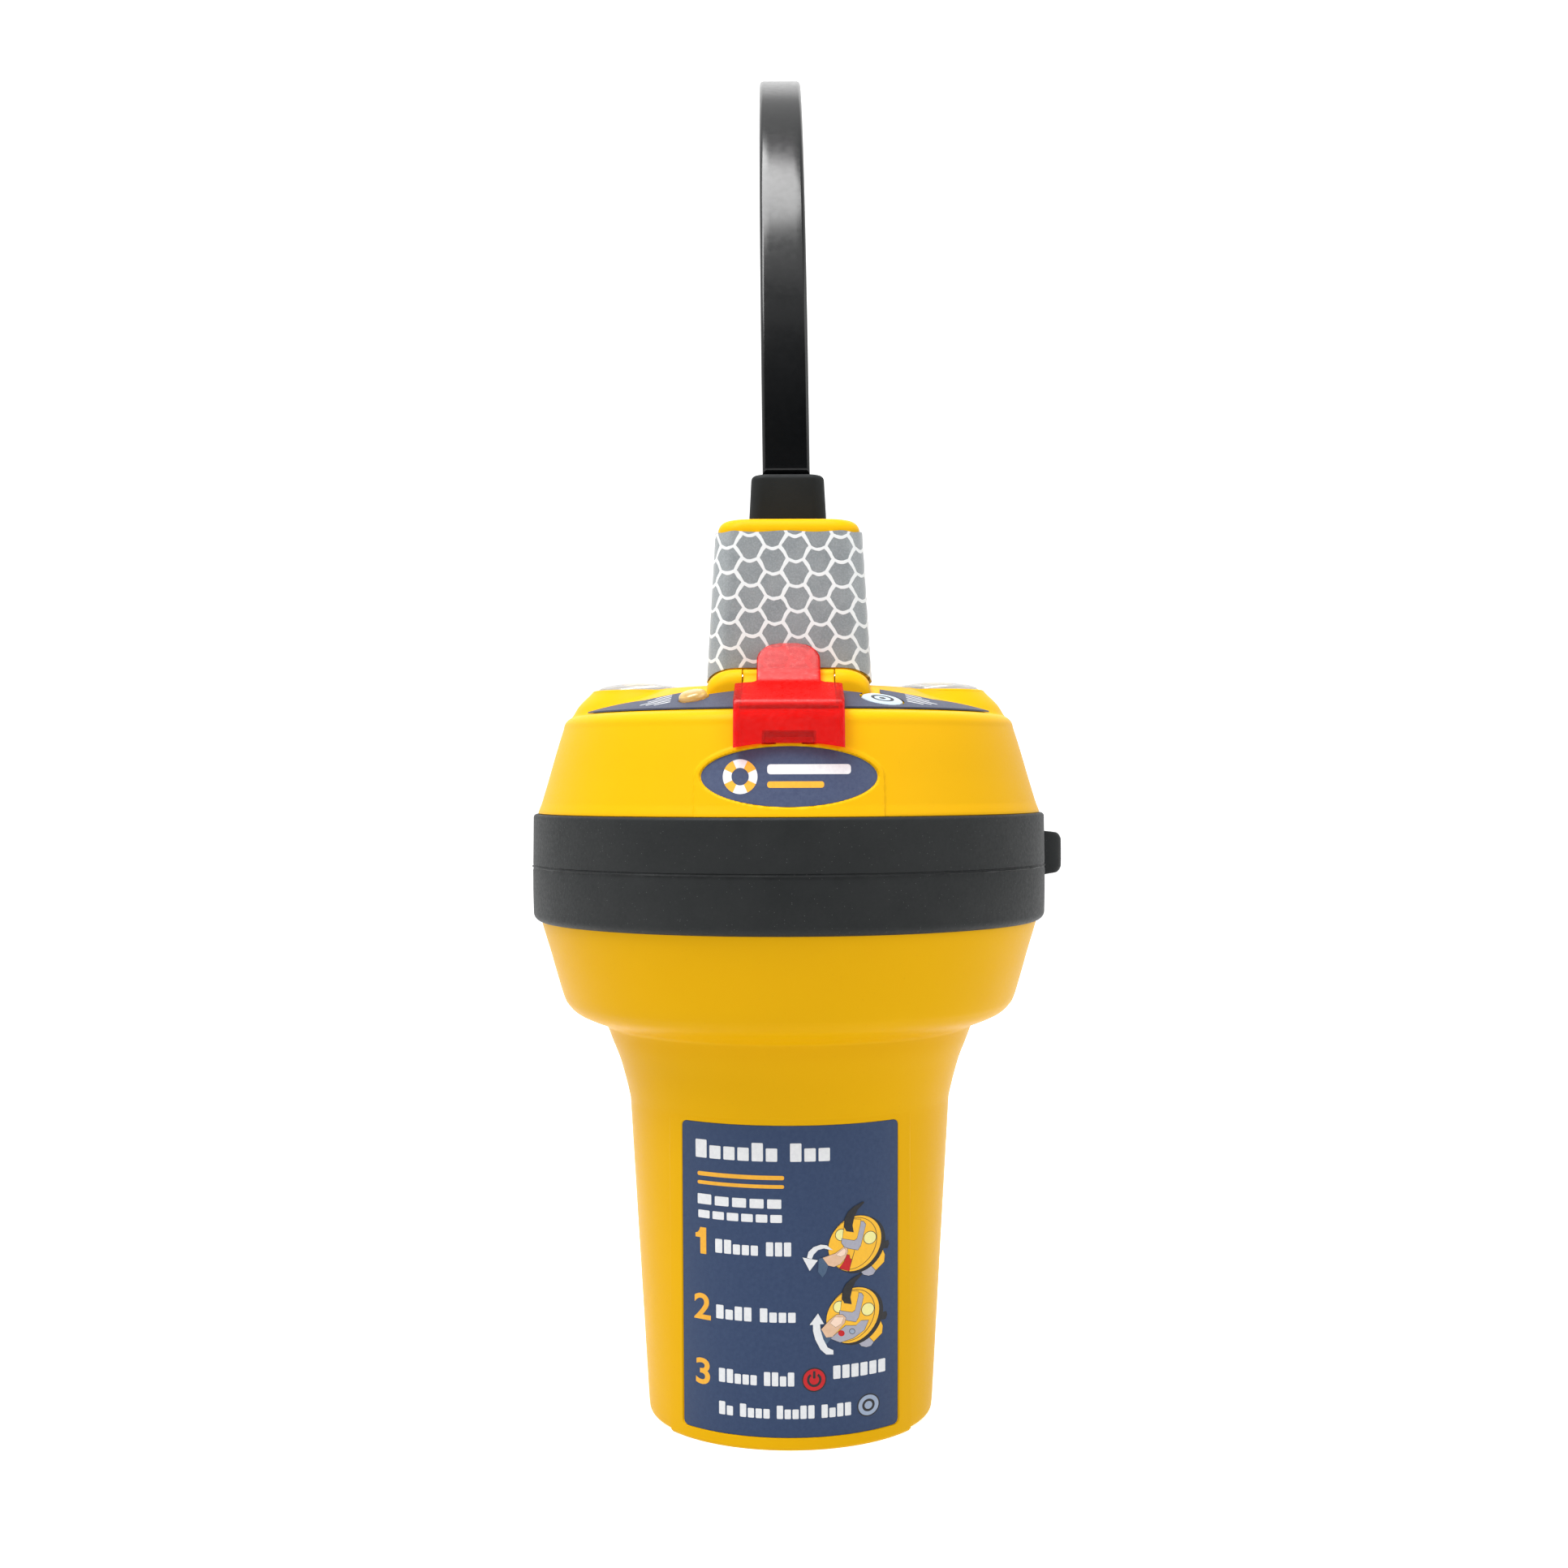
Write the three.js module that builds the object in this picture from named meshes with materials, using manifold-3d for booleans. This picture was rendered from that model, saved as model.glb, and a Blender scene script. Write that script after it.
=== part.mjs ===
// Emergency position beacon: a float-shaped two-part case with a mast, a flexible blade antenna,
// two strobe lights, two keys under a hinged flap, and a break-off safety tab.
// Millimetres, +Z up, front towards -Y. The origin is the centre of the flat base.
import * as THREE from "three";
import { mergeVertices } from "three/addons/utils/BufferGeometryUtils.js";
import Module from "manifold-3d";

const wasm = await Module();
wasm.setup();

// ---------------------------------------------------------------- driving dimensions
const SEGMENTS = 40; // facets round the case
const WALL = 2.2;
const GAP = 0.3; // between pieces that rest on each other
const SKIN_GAP = 0.12; // under a label or tape
const SKIN = 0.32; // thickness of a label or tape

const BASE_R = 24.6;
const NECK_TOP = { r: 27.8, z: 54.3 };
const SHOULDER_FOOT = { r: 32.2, z: 67 };
const SHOULDER_TOP = { r: 39.3, z: 72.3 };
const RIM_LOW = { r: 43.1, z: 85 }; // where the lower cone meets the ring
const SPLIT_Z = 94.5; // parting line of the two shells
const RIM_HIGH = { r: 43.5, z: 104 }; // where the upper cone meets the ring
const CROWN = { r: 39.2, z: 118 };
const DECK_EDGE = { r: 36, z: 120.4 };
const DECK_SLOPE = 0.325; // the deck is a shallow cone
const DECK_FLAT = 21.5; // and level inside this radius
const PAD = { half: 19.9, proud: 0.3, high: 53.5 }; // the thicker front of the neck that carries the label

const SKIRT_R = 42.2; // both shells, under the ring
const SKIRT_IN = 40.4;
const SPIGOT_R = 40.1;
const SPIGOT_IN = 38.1;
const SPIGOT_TOP = 101.8;
const RING = { inner: 42.5, top: 44.3, mid: 44.5, bottom: 44.4, low: 85.2, high: 103.6 };
const LOOP_AZIMUTH = 100; // degrees from the front, towards +X

const MAST = { y: -1.75, halfX: 13.62, halfY: 17.5, taper: 0.058, footZ: 122, topZ: 153, corner: 4 };
const MAST_EDGE = 2;
const TAPE = { low: 125.7, high: 150.7 };
const BOOT = { width: 13.4, depth: 9, low: 153.3, high: 162.3, taper: 0.5 };
const BLADE = { width: 8.3, thick: 2.4, bend: 94.2, turn: 75, lean: 0.0135 };

const LENS = { x: 26, r: 7.4, rim: 124.9, apex: 126.4 };
const MOUND_R = 13.4;

const HINGE = { y: -21.8, z: 126, pin: 0.7, bore: 0.79, knuckle: 1.5, half: 7.5 };
const LOBE = { front: -24.7, top: 127.5, half: 13.2 };
const FLAP = { recess: 0.8, under: -0.25, thick: 0.8, front: -33.8 };
const TAB = { half: 8.7, tongueHalf: 5.2, thick: 0.85 };
const SLOT = { half: 4.15, low: 114.6, high: 117, deep: 4 };

const KEYS = { on: [0, -29], test: [15.1, -27] };
const KEY_R = 3.4;
const INDICATOR = { at: [-15.4, -26], r: 2.4 };

const LABEL = { half: 17.6, low: 2.1, high: 53, corner: 1.5 };
const BADGE = { half: 13.9, tall: 4.85, z: 109.9 };
const PAD_HALF = 14.8;

const CELL = { r: 8.4, h: 33.6, ring: 9.9, low: 4.6, step: 34.2 };
const BOARD = { r: 34, z: 84, thick: 1.6 };

// ---------------------------------------------------------------- materials
const paint = (color, roughness, metalness = 0, extra = {}) =>
  new THREE.MeshStandardMaterial({ color, roughness, metalness, ...extra });
const YELLOW = paint(0xf6bd0a, 0.5);
const RUBBER = paint(0x262827, 0.75);
const BLADE_BLACK = paint(0x17191b, 0.35);
const RED_CLEAR = paint(0xe01808, 0.3, 0, { transparent: true, opacity: 0.85 });
const CLEAR = paint(0xf2f5f6, 0.05, 0, { transparent: true, opacity: 0.4 });
const NAVY = paint(0x2c4369, 0.55);
const TAPE_GREY = paint(0x8f9799, 0.4);
const KEY_RED = paint(0xc02a26, 0.45);
const KEY_BLUE = paint(0xa9bccb, 0.45);
const STEEL = paint(0xb9bcc0, 0.3, 1);
const CHROME = paint(0xdfe3e6, 0.1, 1);
const CIRCUIT = paint(0x1d5a36, 0.55);
const CERAMIC = paint(0xd9d2c0, 0.6);
const CELL_WRAP = paint(0x39424c, 0.4);
const BRASS = paint(0xb8963f, 0.35, 1);

// ---------------------------------------------------------------- solids
function solid(geometry) {
  const loose = geometry.index ? geometry.toNonIndexed() : geometry;
  const bare = new THREE.BufferGeometry();
  bare.setAttribute("position", loose.getAttribute("position"));
  const merged = mergeVertices(bare, 1e-4);
  const faces = new Uint32Array(merged.index.array);
  const make = () =>
    new wasm.Manifold(
      new wasm.Mesh({ numProp: 3, vertProperties: merged.attributes.position.array, triVerts: faces }),
    );
  const made = make();
  if (made.volume() > 0) return made;
  for (let i = 0; i < faces.length; i += 3) [faces[i], faces[i + 1]] = [faces[i + 1], faces[i]];
  return make();
}

function geometryOf(manifold) {
  const { vertProperties, triVerts } = manifold.getMesh();
  const geometry = new THREE.BufferGeometry();
  geometry.setAttribute("position", new THREE.BufferAttribute(vertProperties, 3));
  geometry.setIndex(new THREE.BufferAttribute(triVerts, 1));
  const flat = geometry.toNonIndexed();
  flat.computeVertexNormals();
  return flat;
}

const moved = (geometry, x, y, z) => solid(geometry.clone().translate(x, y, z));
const box = (x0, x1, y0, y1, z0, z1) =>
  moved(new THREE.BoxGeometry(x1 - x0, y1 - y0, z1 - z0), (x0 + x1) / 2, (y0 + y1) / 2, (z0 + z1) / 2);

// A closed profile of [r, z] points turned about Z.
function turn(points, segments = SEGMENTS, [x, y] = [0, 0]) {
  const profile = points.map(([r, z]) => new THREE.Vector2(Math.max(r, 0), z));
  const closed = profile[0].x === 0 && profile.at(-1).x === 0 ? profile : [...profile, profile[0].clone()];
  return moved(new THREE.LatheGeometry(closed, segments).rotateX(Math.PI / 2), x, y, 0);
}

const disc = (r, z0, z1, at = [0, 0], segments = 20) =>
  turn([[0, z0], [r, z0], [r, z1], [0, z1]], segments, at);

// A plan outline raised along Z.
function raise(shape, z0, z1, curveSegments = 8) {
  const g = new THREE.ExtrudeGeometry(shape, { depth: z1 - z0, bevelEnabled: false, curveSegments });
  return moved(g, 0, 0, z0);
}

// An outline in (y, z) carried along X, centred on the middle plane.
function carry(shape, width, curveSegments = 8) {
  const g = new THREE.ExtrudeGeometry(shape, { depth: width, bevelEnabled: false, curveSegments });
  const axes = [new THREE.Vector3(0, 1, 0), new THREE.Vector3(0, 0, 1), new THREE.Vector3(1, 0, 0)];
  return solid(g.translate(0, 0, -width / 2).applyMatrix4(new THREE.Matrix4().makeBasis(...axes)));
}

// An outline in (x, z) carried towards the front, from the axis to y = -reach.
function project(shape, reach) {
  const g = new THREE.ExtrudeGeometry(shape, { depth: reach, bevelEnabled: false, curveSegments: 10 });
  return solid(g.rotateX(Math.PI / 2));
}

function outline(points) {
  return new THREE.Shape(points.map(([x, y]) => new THREE.Vector2(x, y)));
}

function roundedRect(width, depth, corner, centreY = 0) {
  const [w, d] = [width / 2, depth / 2];
  const s = new THREE.Shape();
  s.absarc(w - corner, centreY + d - corner, corner, 0, Math.PI / 2);
  s.absarc(-w + corner, centreY + d - corner, corner, Math.PI / 2, Math.PI);
  s.absarc(-w + corner, centreY - d + corner, corner, Math.PI, 1.5 * Math.PI);
  s.absarc(w - corner, centreY - d + corner, corner, 1.5 * Math.PI, 2 * Math.PI);
  s.closePath();
  return s;
}

function ellipse(halfX, halfZ, centreZ) {
  const s = new THREE.Shape();
  s.absellipse(0, centreZ, halfX, halfZ, 0, 2 * Math.PI);
  return s;
}

// ---------------------------------------------------------------- outer surfaces of the case
const deckZ = (r) => DECK_EDGE.z + DECK_SLOPE * (DECK_EDGE.r - Math.max(r, DECK_FLAT));
const deckTilt = Math.atan(DECK_SLOPE);

function pathPoints(path, divisions = 3) {
  return path.getPoints(divisions).map((p) => [p.x, p.y]);
}

// The neck, flare, shoulder and lower cone, from the base up, moved outwards by grow.
function lowerOutline(grow = 0) {
  const p = new THREE.Path();
  p.moveTo(BASE_R - 0.9 + grow, 0);
  p.quadraticCurveTo(BASE_R + grow, 0, BASE_R + 0.05 + grow, 0.95);
  p.lineTo(NECK_TOP.r + grow, NECK_TOP.z);
  p.quadraticCurveTo(28.3 + grow, 59.5, SHOULDER_FOOT.r + grow, SHOULDER_FOOT.z);
  p.quadraticCurveTo(38.3 + grow, 68.6, SHOULDER_TOP.r + grow, SHOULDER_TOP.z);
  p.lineTo(RIM_LOW.r + grow, RIM_LOW.z);
  return pathPoints(p);
}

// The upper cone and crown up to the deck's edge, moved outwards by grow.
function upperOutline(grow = 0) {
  const p = new THREE.Path();
  p.moveTo(RIM_HIGH.r + grow, RIM_HIGH.z);
  p.lineTo(CROWN.r + grow, CROWN.z);
  p.quadraticCurveTo(38.7 + grow, 119.9, DECK_EDGE.r + grow * 0.3, DECK_EDGE.z + grow);
  return pathPoints(p, 3);
}

// A skin that follows the upper or lower outline between two offsets.
function shell(outlineOf, from, to) {
  return turn([...outlineOf(to), ...outlineOf(from).reverse()]);
}

// Places a solid built about the origin on the deck, square to its slope.
function onDeck(manifold, [x, y], lift = 0) {
  const r = Math.hypot(x, y);
  const azimuth = Math.atan2(x, -y);
  const m = new THREE.Matrix4()
    .makeTranslation(x, y, deckZ(r))
    .multiply(new THREE.Matrix4().makeRotationZ(azimuth))
    .multiply(new THREE.Matrix4().makeRotationX(deckTilt))
    .multiply(new THREE.Matrix4().makeTranslation(0, 0, lift));
  return manifold.transform(m.elements);
}

// ---------------------------------------------------------------- the mast
// The mast's section grows or shrinks with height, so its skin and its hollow use the same function.
function mastBlock(grow, z0, z1, bevel = 0) {
  const [fullX, fullY] = [MAST.halfX + grow, MAST.halfY + grow];
  const shape = roundedRect(2 * (fullX - bevel), 2 * (fullY - bevel), MAST.corner + grow - bevel);
  const g = new THREE.ExtrudeGeometry(shape, {
    depth: z1 - z0 - bevel,
    curveSegments: 4,
    bevelEnabled: bevel > 0,
    bevelSize: bevel,
    bevelThickness: bevel,
    bevelSegments: 3,
  });
  g.translate(0, 0, z0);
  const p = g.getAttribute("position");
  for (let i = 0; i < p.count; i++) {
    const inset = MAST.taper * (p.getZ(i) - MAST.footZ);
    p.setX(i, (p.getX(i) * (fullX - inset)) / fullX);
    p.setY(i, (p.getY(i) * (fullY - inset)) / fullY + MAST.y);
  }
  return solid(g);
}

const badgeOval = (trim) => ellipse(BADGE.half - trim, BADGE.tall - trim, BADGE.z);

const group = new THREE.Group();
function add(name, manifold, material) {
  const mesh = new THREE.Mesh(geometryOf(manifold), material);
  mesh.name = name;
  group.add(mesh);
}

const sides = [
  ["left", -1],
  ["right", 1],
];

// ---------------------------------------------------------------- upper case
const moundOutline = (grow) => {
  const p = new THREE.Path();
  p.moveTo(MOUND_R + grow, 114);
  p.lineTo(MOUND_R + grow, 116.5);
  p.quadraticCurveTo(MOUND_R - 1.6 + grow, 122.4, 9.9 + grow * 0.7, 123.1 + grow * 0.7);
  p.quadraticCurveTo(8.6, 124.4 + grow, LENS.r + 0.45, LENS.rim - 0.1 + grow);
  return [[0, 114], ...pathPoints(p, 2), [0, LENS.rim - 0.1 + grow]];
};

function hingeLobes() {
  const side = new THREE.Shape();
  side.moveTo(-15, 121);
  side.lineTo(LOBE.front, 121);
  side.lineTo(LOBE.front, LOBE.top - 1.9);
  side.quadraticCurveTo(LOBE.front, LOBE.top, LOBE.front + 2.2, LOBE.top);
  side.lineTo(-15, LOBE.top);
  const plan = new THREE.Shape();
  plan.moveTo(-LOBE.half, -14);
  plan.lineTo(-LOBE.half, LOBE.front + 3);
  plan.quadraticCurveTo(-LOBE.half, LOBE.front, -LOBE.half + 3, LOBE.front);
  plan.lineTo(LOBE.half - 3, LOBE.front);
  plan.quadraticCurveTo(LOBE.half, LOBE.front, LOBE.half, LOBE.front + 3);
  plan.lineTo(LOBE.half, -14);
  return carry(side, 2 * LOBE.half + 2).intersect(raise(plan, 120, 135));
}

function badgePad() {
  const s = new THREE.Shape();
  s.absellipse(0, BADGE.z, PAD_HALF, BADGE.tall + 0.7, 0, Math.PI);
  s.lineTo(-PAD_HALF, RIM_HIGH.z);
  s.lineTo(PAD_HALF, RIM_HIGH.z);
  return shell(upperOutline, -1, 0.25).intersect(project(s, 60));
}

// The deck's hollow under the flap, square to the deck, with a deeper channel for the knuckle.
function flapRecess() {
  const half = HINGE.half + GAP;
  const at = (y, lift) => [y, deckZ(-y) + lift];
  const side = outline([
    at(FLAP.front - GAP, -FLAP.recess),
    at(-25, -FLAP.recess),
    [-22.9, HINGE.z - HINGE.knuckle - 0.4],
    [HINGE.y + HINGE.knuckle + 0.4, HINGE.z - HINGE.knuckle - 0.4],
    [HINGE.y + HINGE.knuckle + 0.4, 128],
    [-26, 128],
    at(FLAP.front - GAP, 3),
  ]);
  return carry(side, 2 * half);
}

function hingeBore(r, half) {
  return disc(r, -half, half, [0, 0], 16).rotate([0, 90, 0]).translate([0, HINGE.y, HINGE.z]);
}

function upperCase() {
  const outside = turn([
    [0, SPLIT_Z + GAP],
    [SKIRT_R, SPLIT_Z + GAP],
    [SKIRT_R, RIM_HIGH.z - 0.1],
    ...upperOutline(),
    [DECK_FLAT, deckZ(0)],
    [0, deckZ(0)],
  ]);
  const inside = turn([
    [0, SPLIT_Z - 1],
    [SKIRT_IN, SPLIT_Z - 1],
    [SKIRT_IN, RIM_HIGH.z],
    [CROWN.r - WALL, CROWN.z - 1],
    [DECK_EDGE.r - 1, deckZ(DECK_EDGE.r) - WALL],
    [DECK_FLAT, deckZ(0) - WALL],
    [0, deckZ(0) - WALL],
  ]);
  let body = outside;
  for (const [, side] of sides) body = body.add(turn(moundOutline(0), 28, [side * LENS.x, 0]));
  body = body.add(mastBlock(0, MAST.footZ, MAST.topZ, MAST_EDGE)).add(hingeLobes()).add(badgePad());
  body = body.subtract(inside);
  for (const [, side] of sides) {
    const at = [side * LENS.x, 0];
    body = body.subtract(disc(LENS.r - 0.9, 114, LENS.rim, at));
    body = body.subtract(disc(LENS.r + 0.2, LENS.rim - 1.5, 130, at));
  }
  body = body.subtract(mastBlock(-WALL, MAST.footZ - 2, MAST.topZ - WALL));
  body = body.subtract(box(-5.4, 5.4, -2.6, 2.6, 147, 155)); // the boot's hole
  body = body.add(box(-10.5, 10.5, -25, -17.4, 121.2, HINGE.z - HINGE.knuckle)); // floor under the knuckle
  body = body.subtract(flapRecess()).subtract(hingeBore(HINGE.bore, 12));

  for (const at of Object.values(KEYS)) {
    body = body.subtract(onDeck(disc(KEY_R + 0.3, -1.75, 3), at)).subtract(onDeck(disc(1.9, -8, 3), at));
  }
  body = body.subtract(onDeck(disc(INDICATOR.r - 0.6, -8, 3), INDICATOR.at));
  body = body.subtract(onDeck(disc(INDICATOR.r + 0.2, -0.5, 3), INDICATOR.at));

  // the tab's slot and the badge's seat
  const slotWall = box(-SLOT.half - 1.6, SLOT.half + 1.6, -38, -34.2, SLOT.low - 1.6, SLOT.high + 1.2);
  body = body.add(slotWall).subtract(box(-SLOT.half, SLOT.half, -45, -41 + SLOT.deep, SLOT.low, SLOT.high));
  body = body.subtract(shell(upperOutline, -0.3, 3).intersect(project(badgeOval(0), 60)));

  for (const { x, y } of screwPlaces) {
    body = body.subtract(radialDisc(1.5, SKIRT_IN - 2, SKIRT_R + 1, x, y));
    body = body.subtract(radialDisc(2.8, SKIRT_R - 1.2, SKIRT_R + 1, x, y));
  }
  for (const side of [-1, 1]) body = body.subtract(contactHole(side));
  return body;
}

// ---------------------------------------------------------------- radial screws under the ring
const SCREW_Z = 99;
const screwPlaces = [45, 135, 225, 315].map((degrees) => {
  const a = THREE.MathUtils.degToRad(degrees);
  return { x: Math.cos(a), y: Math.sin(a) };
});

// A disc of radius r whose axis runs outwards along (x, y), from radius r0 to r1.
function radialDisc(r, r0, r1, x, y, z = SCREW_Z, segments = 16) {
  const azimuth = THREE.MathUtils.radToDeg(Math.atan2(y, x));
  return disc(r, r0, r1, [0, 0], segments).rotate([0, 90, 0]).rotate([0, 0, azimuth]).translate([0, 0, z]);
}

// ---------------------------------------------------------------- water contacts at the rear
const CONTACT = { azimuth: 62, z: 111, r: 2.2 };
function contactAxis(side) {
  const a = THREE.MathUtils.degToRad(90 - side * (90 - CONTACT.azimuth));
  return { x: Math.cos(a), y: Math.sin(a) };
}
function contactHole(side) {
  const { x, y } = contactAxis(side);
  const seat = radialDisc(CONTACT.r + GAP, 41, 45, x, y, CONTACT.z);
  return seat.add(radialDisc(1.3, 34, 45, x, y, CONTACT.z));
}

// ---------------------------------------------------------------- lower case
function lowerCase() {
  const inner = [
    [0, 2.6],
    [22.2, 2.6],
    [NECK_TOP.r - WALL, NECK_TOP.z],
    [26.6, 62],
    [SHOULDER_FOOT.r - 1.2, SHOULDER_FOOT.z + 2.6],
    [SHOULDER_TOP.r - 2.8, SHOULDER_TOP.z + 0.8],
    [SPIGOT_IN, 80],
    [SPIGOT_IN, SPIGOT_TOP + 1],
    [0, SPIGOT_TOP + 1],
  ];
  let body = turn([
    [0, 0],
    ...lowerOutline(),
    [SKIRT_R, RIM_LOW.z + 0.1],
    [SKIRT_R, SPLIT_Z],
    [SPIGOT_R, SPLIT_Z],
    [SPIGOT_R, SPIGOT_TOP],
    [0, SPIGOT_TOP],
  ]).subtract(turn(inner));
  body = body.add(labelPad()).add(lanyardEye());
  body = body.subtract(turn([[38.9, 95.3], [42, 95.3], [42, 97], [38.9, 97]])); // the seal's groove
  for (const { x, y } of screwPlaces) body = body.subtract(radialDisc(1.3, 36, 42, x, y));
  for (const { x, y } of boardPosts) {
    const post = disc(2.6, 68, BOARD.z - GAP, [x, y], 12);
    body = body.add(post.intersect(turn([[0, 60], ...lowerOutline(-0.6).slice(3), [0, RIM_LOW.z]])));
    body = body.subtract(disc(1.1, BOARD.z - 6, BOARD.z, [x, y], 12));
  }
  body = body.subtract(shell(lowerOutline, -0.3, 3).intersect(project(labelOutline(0), 60)));
  return body;
}

// A moulded loop on the rear of the neck for the lanyard.
function lanyardEye() {
  const [root, outer] = [25, 35.2];
  const s = new THREE.Shape();
  s.moveTo(-7, root);
  s.lineTo(7, root);
  s.lineTo(7, outer - 2);
  s.quadraticCurveTo(7, outer, 5, outer);
  s.lineTo(-5, outer);
  s.quadraticCurveTo(-7, outer, -7, outer - 2);
  s.closePath();
  return raise(s, 36, 41, 3).subtract(box(-4.6, 4.6, 20, outer - 2.2, 30, 50));
}

// The front of the neck is a little thicker, down to a crisp edge at the base.
function labelPad() {
  const { half, proud, high } = PAD;
  const profile = turn([
    [22.6, 0.02],
    [BASE_R + proud - 0.25, 0.02],
    [BASE_R + proud, 0.3],
    [BASE_R + proud + 0.15, 3],
    [NECK_TOP.r - 0.05, high],
    [NECK_TOP.r - 1, high],
    [BASE_R - 1, 4],
    [22.6, 1.5],
  ]);
  return profile.intersect(box(-half, half, -40, 0, 0, 60));
}

const boardPosts = [45, 135, 225, 315].map((degrees) => {
  const a = THREE.MathUtils.degToRad(degrees);
  return { x: 30.5 * Math.cos(a), y: 30.5 * Math.sin(a) };
});

// ---------------------------------------------------------------- bumper ring with the antenna's tip loop
function bumperRing() {
  const seam = 94.6;
  const p = new THREE.Path();
  p.moveTo(RING.inner, RING.low);
  p.lineTo(RING.bottom - 1.1, RING.low);
  p.quadraticCurveTo(RING.bottom, RING.low, RING.bottom, RING.low + 1.4);
  p.lineTo(RING.mid, seam - 0.3);
  p.lineTo(RING.mid + 0.25, seam);
  p.lineTo(RING.mid, seam + 0.3);
  p.lineTo(RING.top, RING.high - 0.8);
  p.quadraticCurveTo(RING.top, RING.high, RING.top - 0.8, RING.high);
  p.lineTo(RING.inner, RING.high);
  let body = turn(pathPoints(p, 3));

  const loop = new THREE.Shape(); // section in (outwards, up)
  loop.moveTo(RING.inner + 0.6, 92.4);
  loop.lineTo(47.1, 92.8);
  loop.quadraticCurveTo(48.1, 93, 48.1, 94.1);
  loop.lineTo(48.1, 98.5);
  loop.quadraticCurveTo(48.1, 99.6, 47.1, 99.8);
  loop.lineTo(RING.inner + 0.6, 100.3);
  const turnedLoop = carry(loop, 13.4).rotate([0, 0, 180]); // outwards is -Y
  const gap = box(-4.7, 4.7, -46.4, -RING.inner - 0.9, RING.low - 1, RING.high + 1);
  const aim = (m) => m.rotate([0, 0, LOOP_AZIMUTH]);
  body = body.add(aim(turnedLoop)).subtract(aim(gap));
  return body;
}

// ---------------------------------------------------------------- labels and tape
function keypadOverlay() {
  const plan = new THREE.Shape();
  const reach = 35.5;
  const start = Math.asin(14 / reach);
  const clear = LOBE.front - 0.4;
  plan.absarc(0, 0, reach, Math.PI + start, 2 * Math.PI - start);
  plan.lineTo(18, -18);
  plan.lineTo(15, clear);
  plan.lineTo(-15, clear);
  plan.lineTo(-18, -18);
  plan.closePath();
  const deck = (lift) => [
    [DECK_FLAT + 0.5, deckZ(DECK_FLAT + 0.5) + lift],
    [DECK_EDGE.r - 0.2, deckZ(DECK_EDGE.r - 0.2) + lift],
  ];
  let sheet = turn([...deck(SKIN_GAP), ...deck(SKIN_GAP + SKIN).reverse()]);
  sheet = sheet.intersect(raise(plan, 110, 135, 24));
  for (const [, side] of sides) sheet = sheet.subtract(disc(MOUND_R + 0.3, 110, 135, [side * LENS.x, 0]));
  const window = HINGE.half + 2 * GAP;
  sheet = sheet.subtract(box(-window, window, FLAP.front - 2 * GAP, -20, 110, 135));
  sheet = sheet.subtract(onDeck(disc(KEY_R + 0.3, -2, 3), KEYS.test));
  return sheet.subtract(onDeck(disc(INDICATOR.r + 0.3, -2, 3), INDICATOR.at));
}

function labelOutline(trim) {
  const { half, low, high, corner } = LABEL;
  return roundedRect(2 * (half - trim), high - low - 2 * trim, corner, (high + low) / 2);
}

function instructionLabel() {
  return shell(lowerOutline, -0.18, 0.14).intersect(project(labelOutline(0.3), 60));
}

function badgePlate() {
  return shell(upperOutline, -0.18, 0.12).intersect(project(badgeOval(0.3), 60));
}

function reflectiveTape() {
  const band = mastBlock(SKIN_GAP + SKIN, TAPE.low, TAPE.high).subtract(mastBlock(SKIN_GAP, 120, 160));
  const clearOfLobes = box(-LOBE.half - 0.6, LOBE.half + 0.6, -28, -13, 120, LOBE.top + 0.4);
  const seam = box(-0.4, 0.4, 5, 25, 120, 160); // the ends nearly meet at the rear
  return band.subtract(clearOfLobes).subtract(seam);
}

// ---------------------------------------------------------------- strobes
function strobeLens(at) {
  const dome = (r, base, apex) => {
    const p = new THREE.Path();
    p.moveTo(r, base);
    p.quadraticCurveTo(r * 0.72, apex, 0, apex);
    return pathPoints(p, 3);
  };
  const outside = [[LENS.r, LENS.rim - 1.3], ...dome(LENS.r, LENS.rim - 0.1, LENS.apex)];
  const inside = [[LENS.r - 1.3, LENS.rim - 1.3], ...dome(LENS.r - 1.3, LENS.rim - 0.6, LENS.apex - 1.1)];
  return turn([...outside, ...inside.reverse()], 24, at);
}

function strobeReflector(at) {
  return turn([[2.9, 117.4], [3.6, 117.4], [6.1, 122.4], [6.1, 122.9], [5.5, 122.9], [2.9, 117.9]], 20, at);
}

function strobeEmitter(at) {
  return turn([[0, 116.4], [2.4, 116.4], [2.4, 117.3], [2.1, 118.4], [1.2, 119.2], [0, 119.5]], 16, at);
}

// ---------------------------------------------------------------- keys, flap and tab
function key(at, lift) {
  const low = -0.9;
  const cap = turn([[0, low], [KEY_R, low], [KEY_R, lift - 0.2], [KEY_R - 0.3, lift], [0, lift]], 24);
  return onDeck(cap.add(disc(1.6, -2.9, low + 0.1, [0, 0], 12)), at);
}

function keyFlap() {
  const at = (y, lift) => [y, deckZ(-y) + lift];
  const side = outline([
    at(FLAP.front, FLAP.under),
    at(-25.3, FLAP.under),
    [-23.2, HINGE.z - HINGE.knuckle],
    [HINGE.y, HINGE.z - HINGE.knuckle],
    [HINGE.y, HINGE.z + 0.6],
    [HINGE.y - HINGE.knuckle + 0.1, HINGE.z + 0.2],
    at(-25.3, FLAP.under + FLAP.thick),
    at(FLAP.front, FLAP.under + FLAP.thick),
  ]);
  return carry(side, 2 * HINGE.half)
    .add(hingeBore(HINGE.knuckle, HINGE.half))
    .subtract(hingeBore(HINGE.bore, HINGE.half + 1));
}

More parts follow.
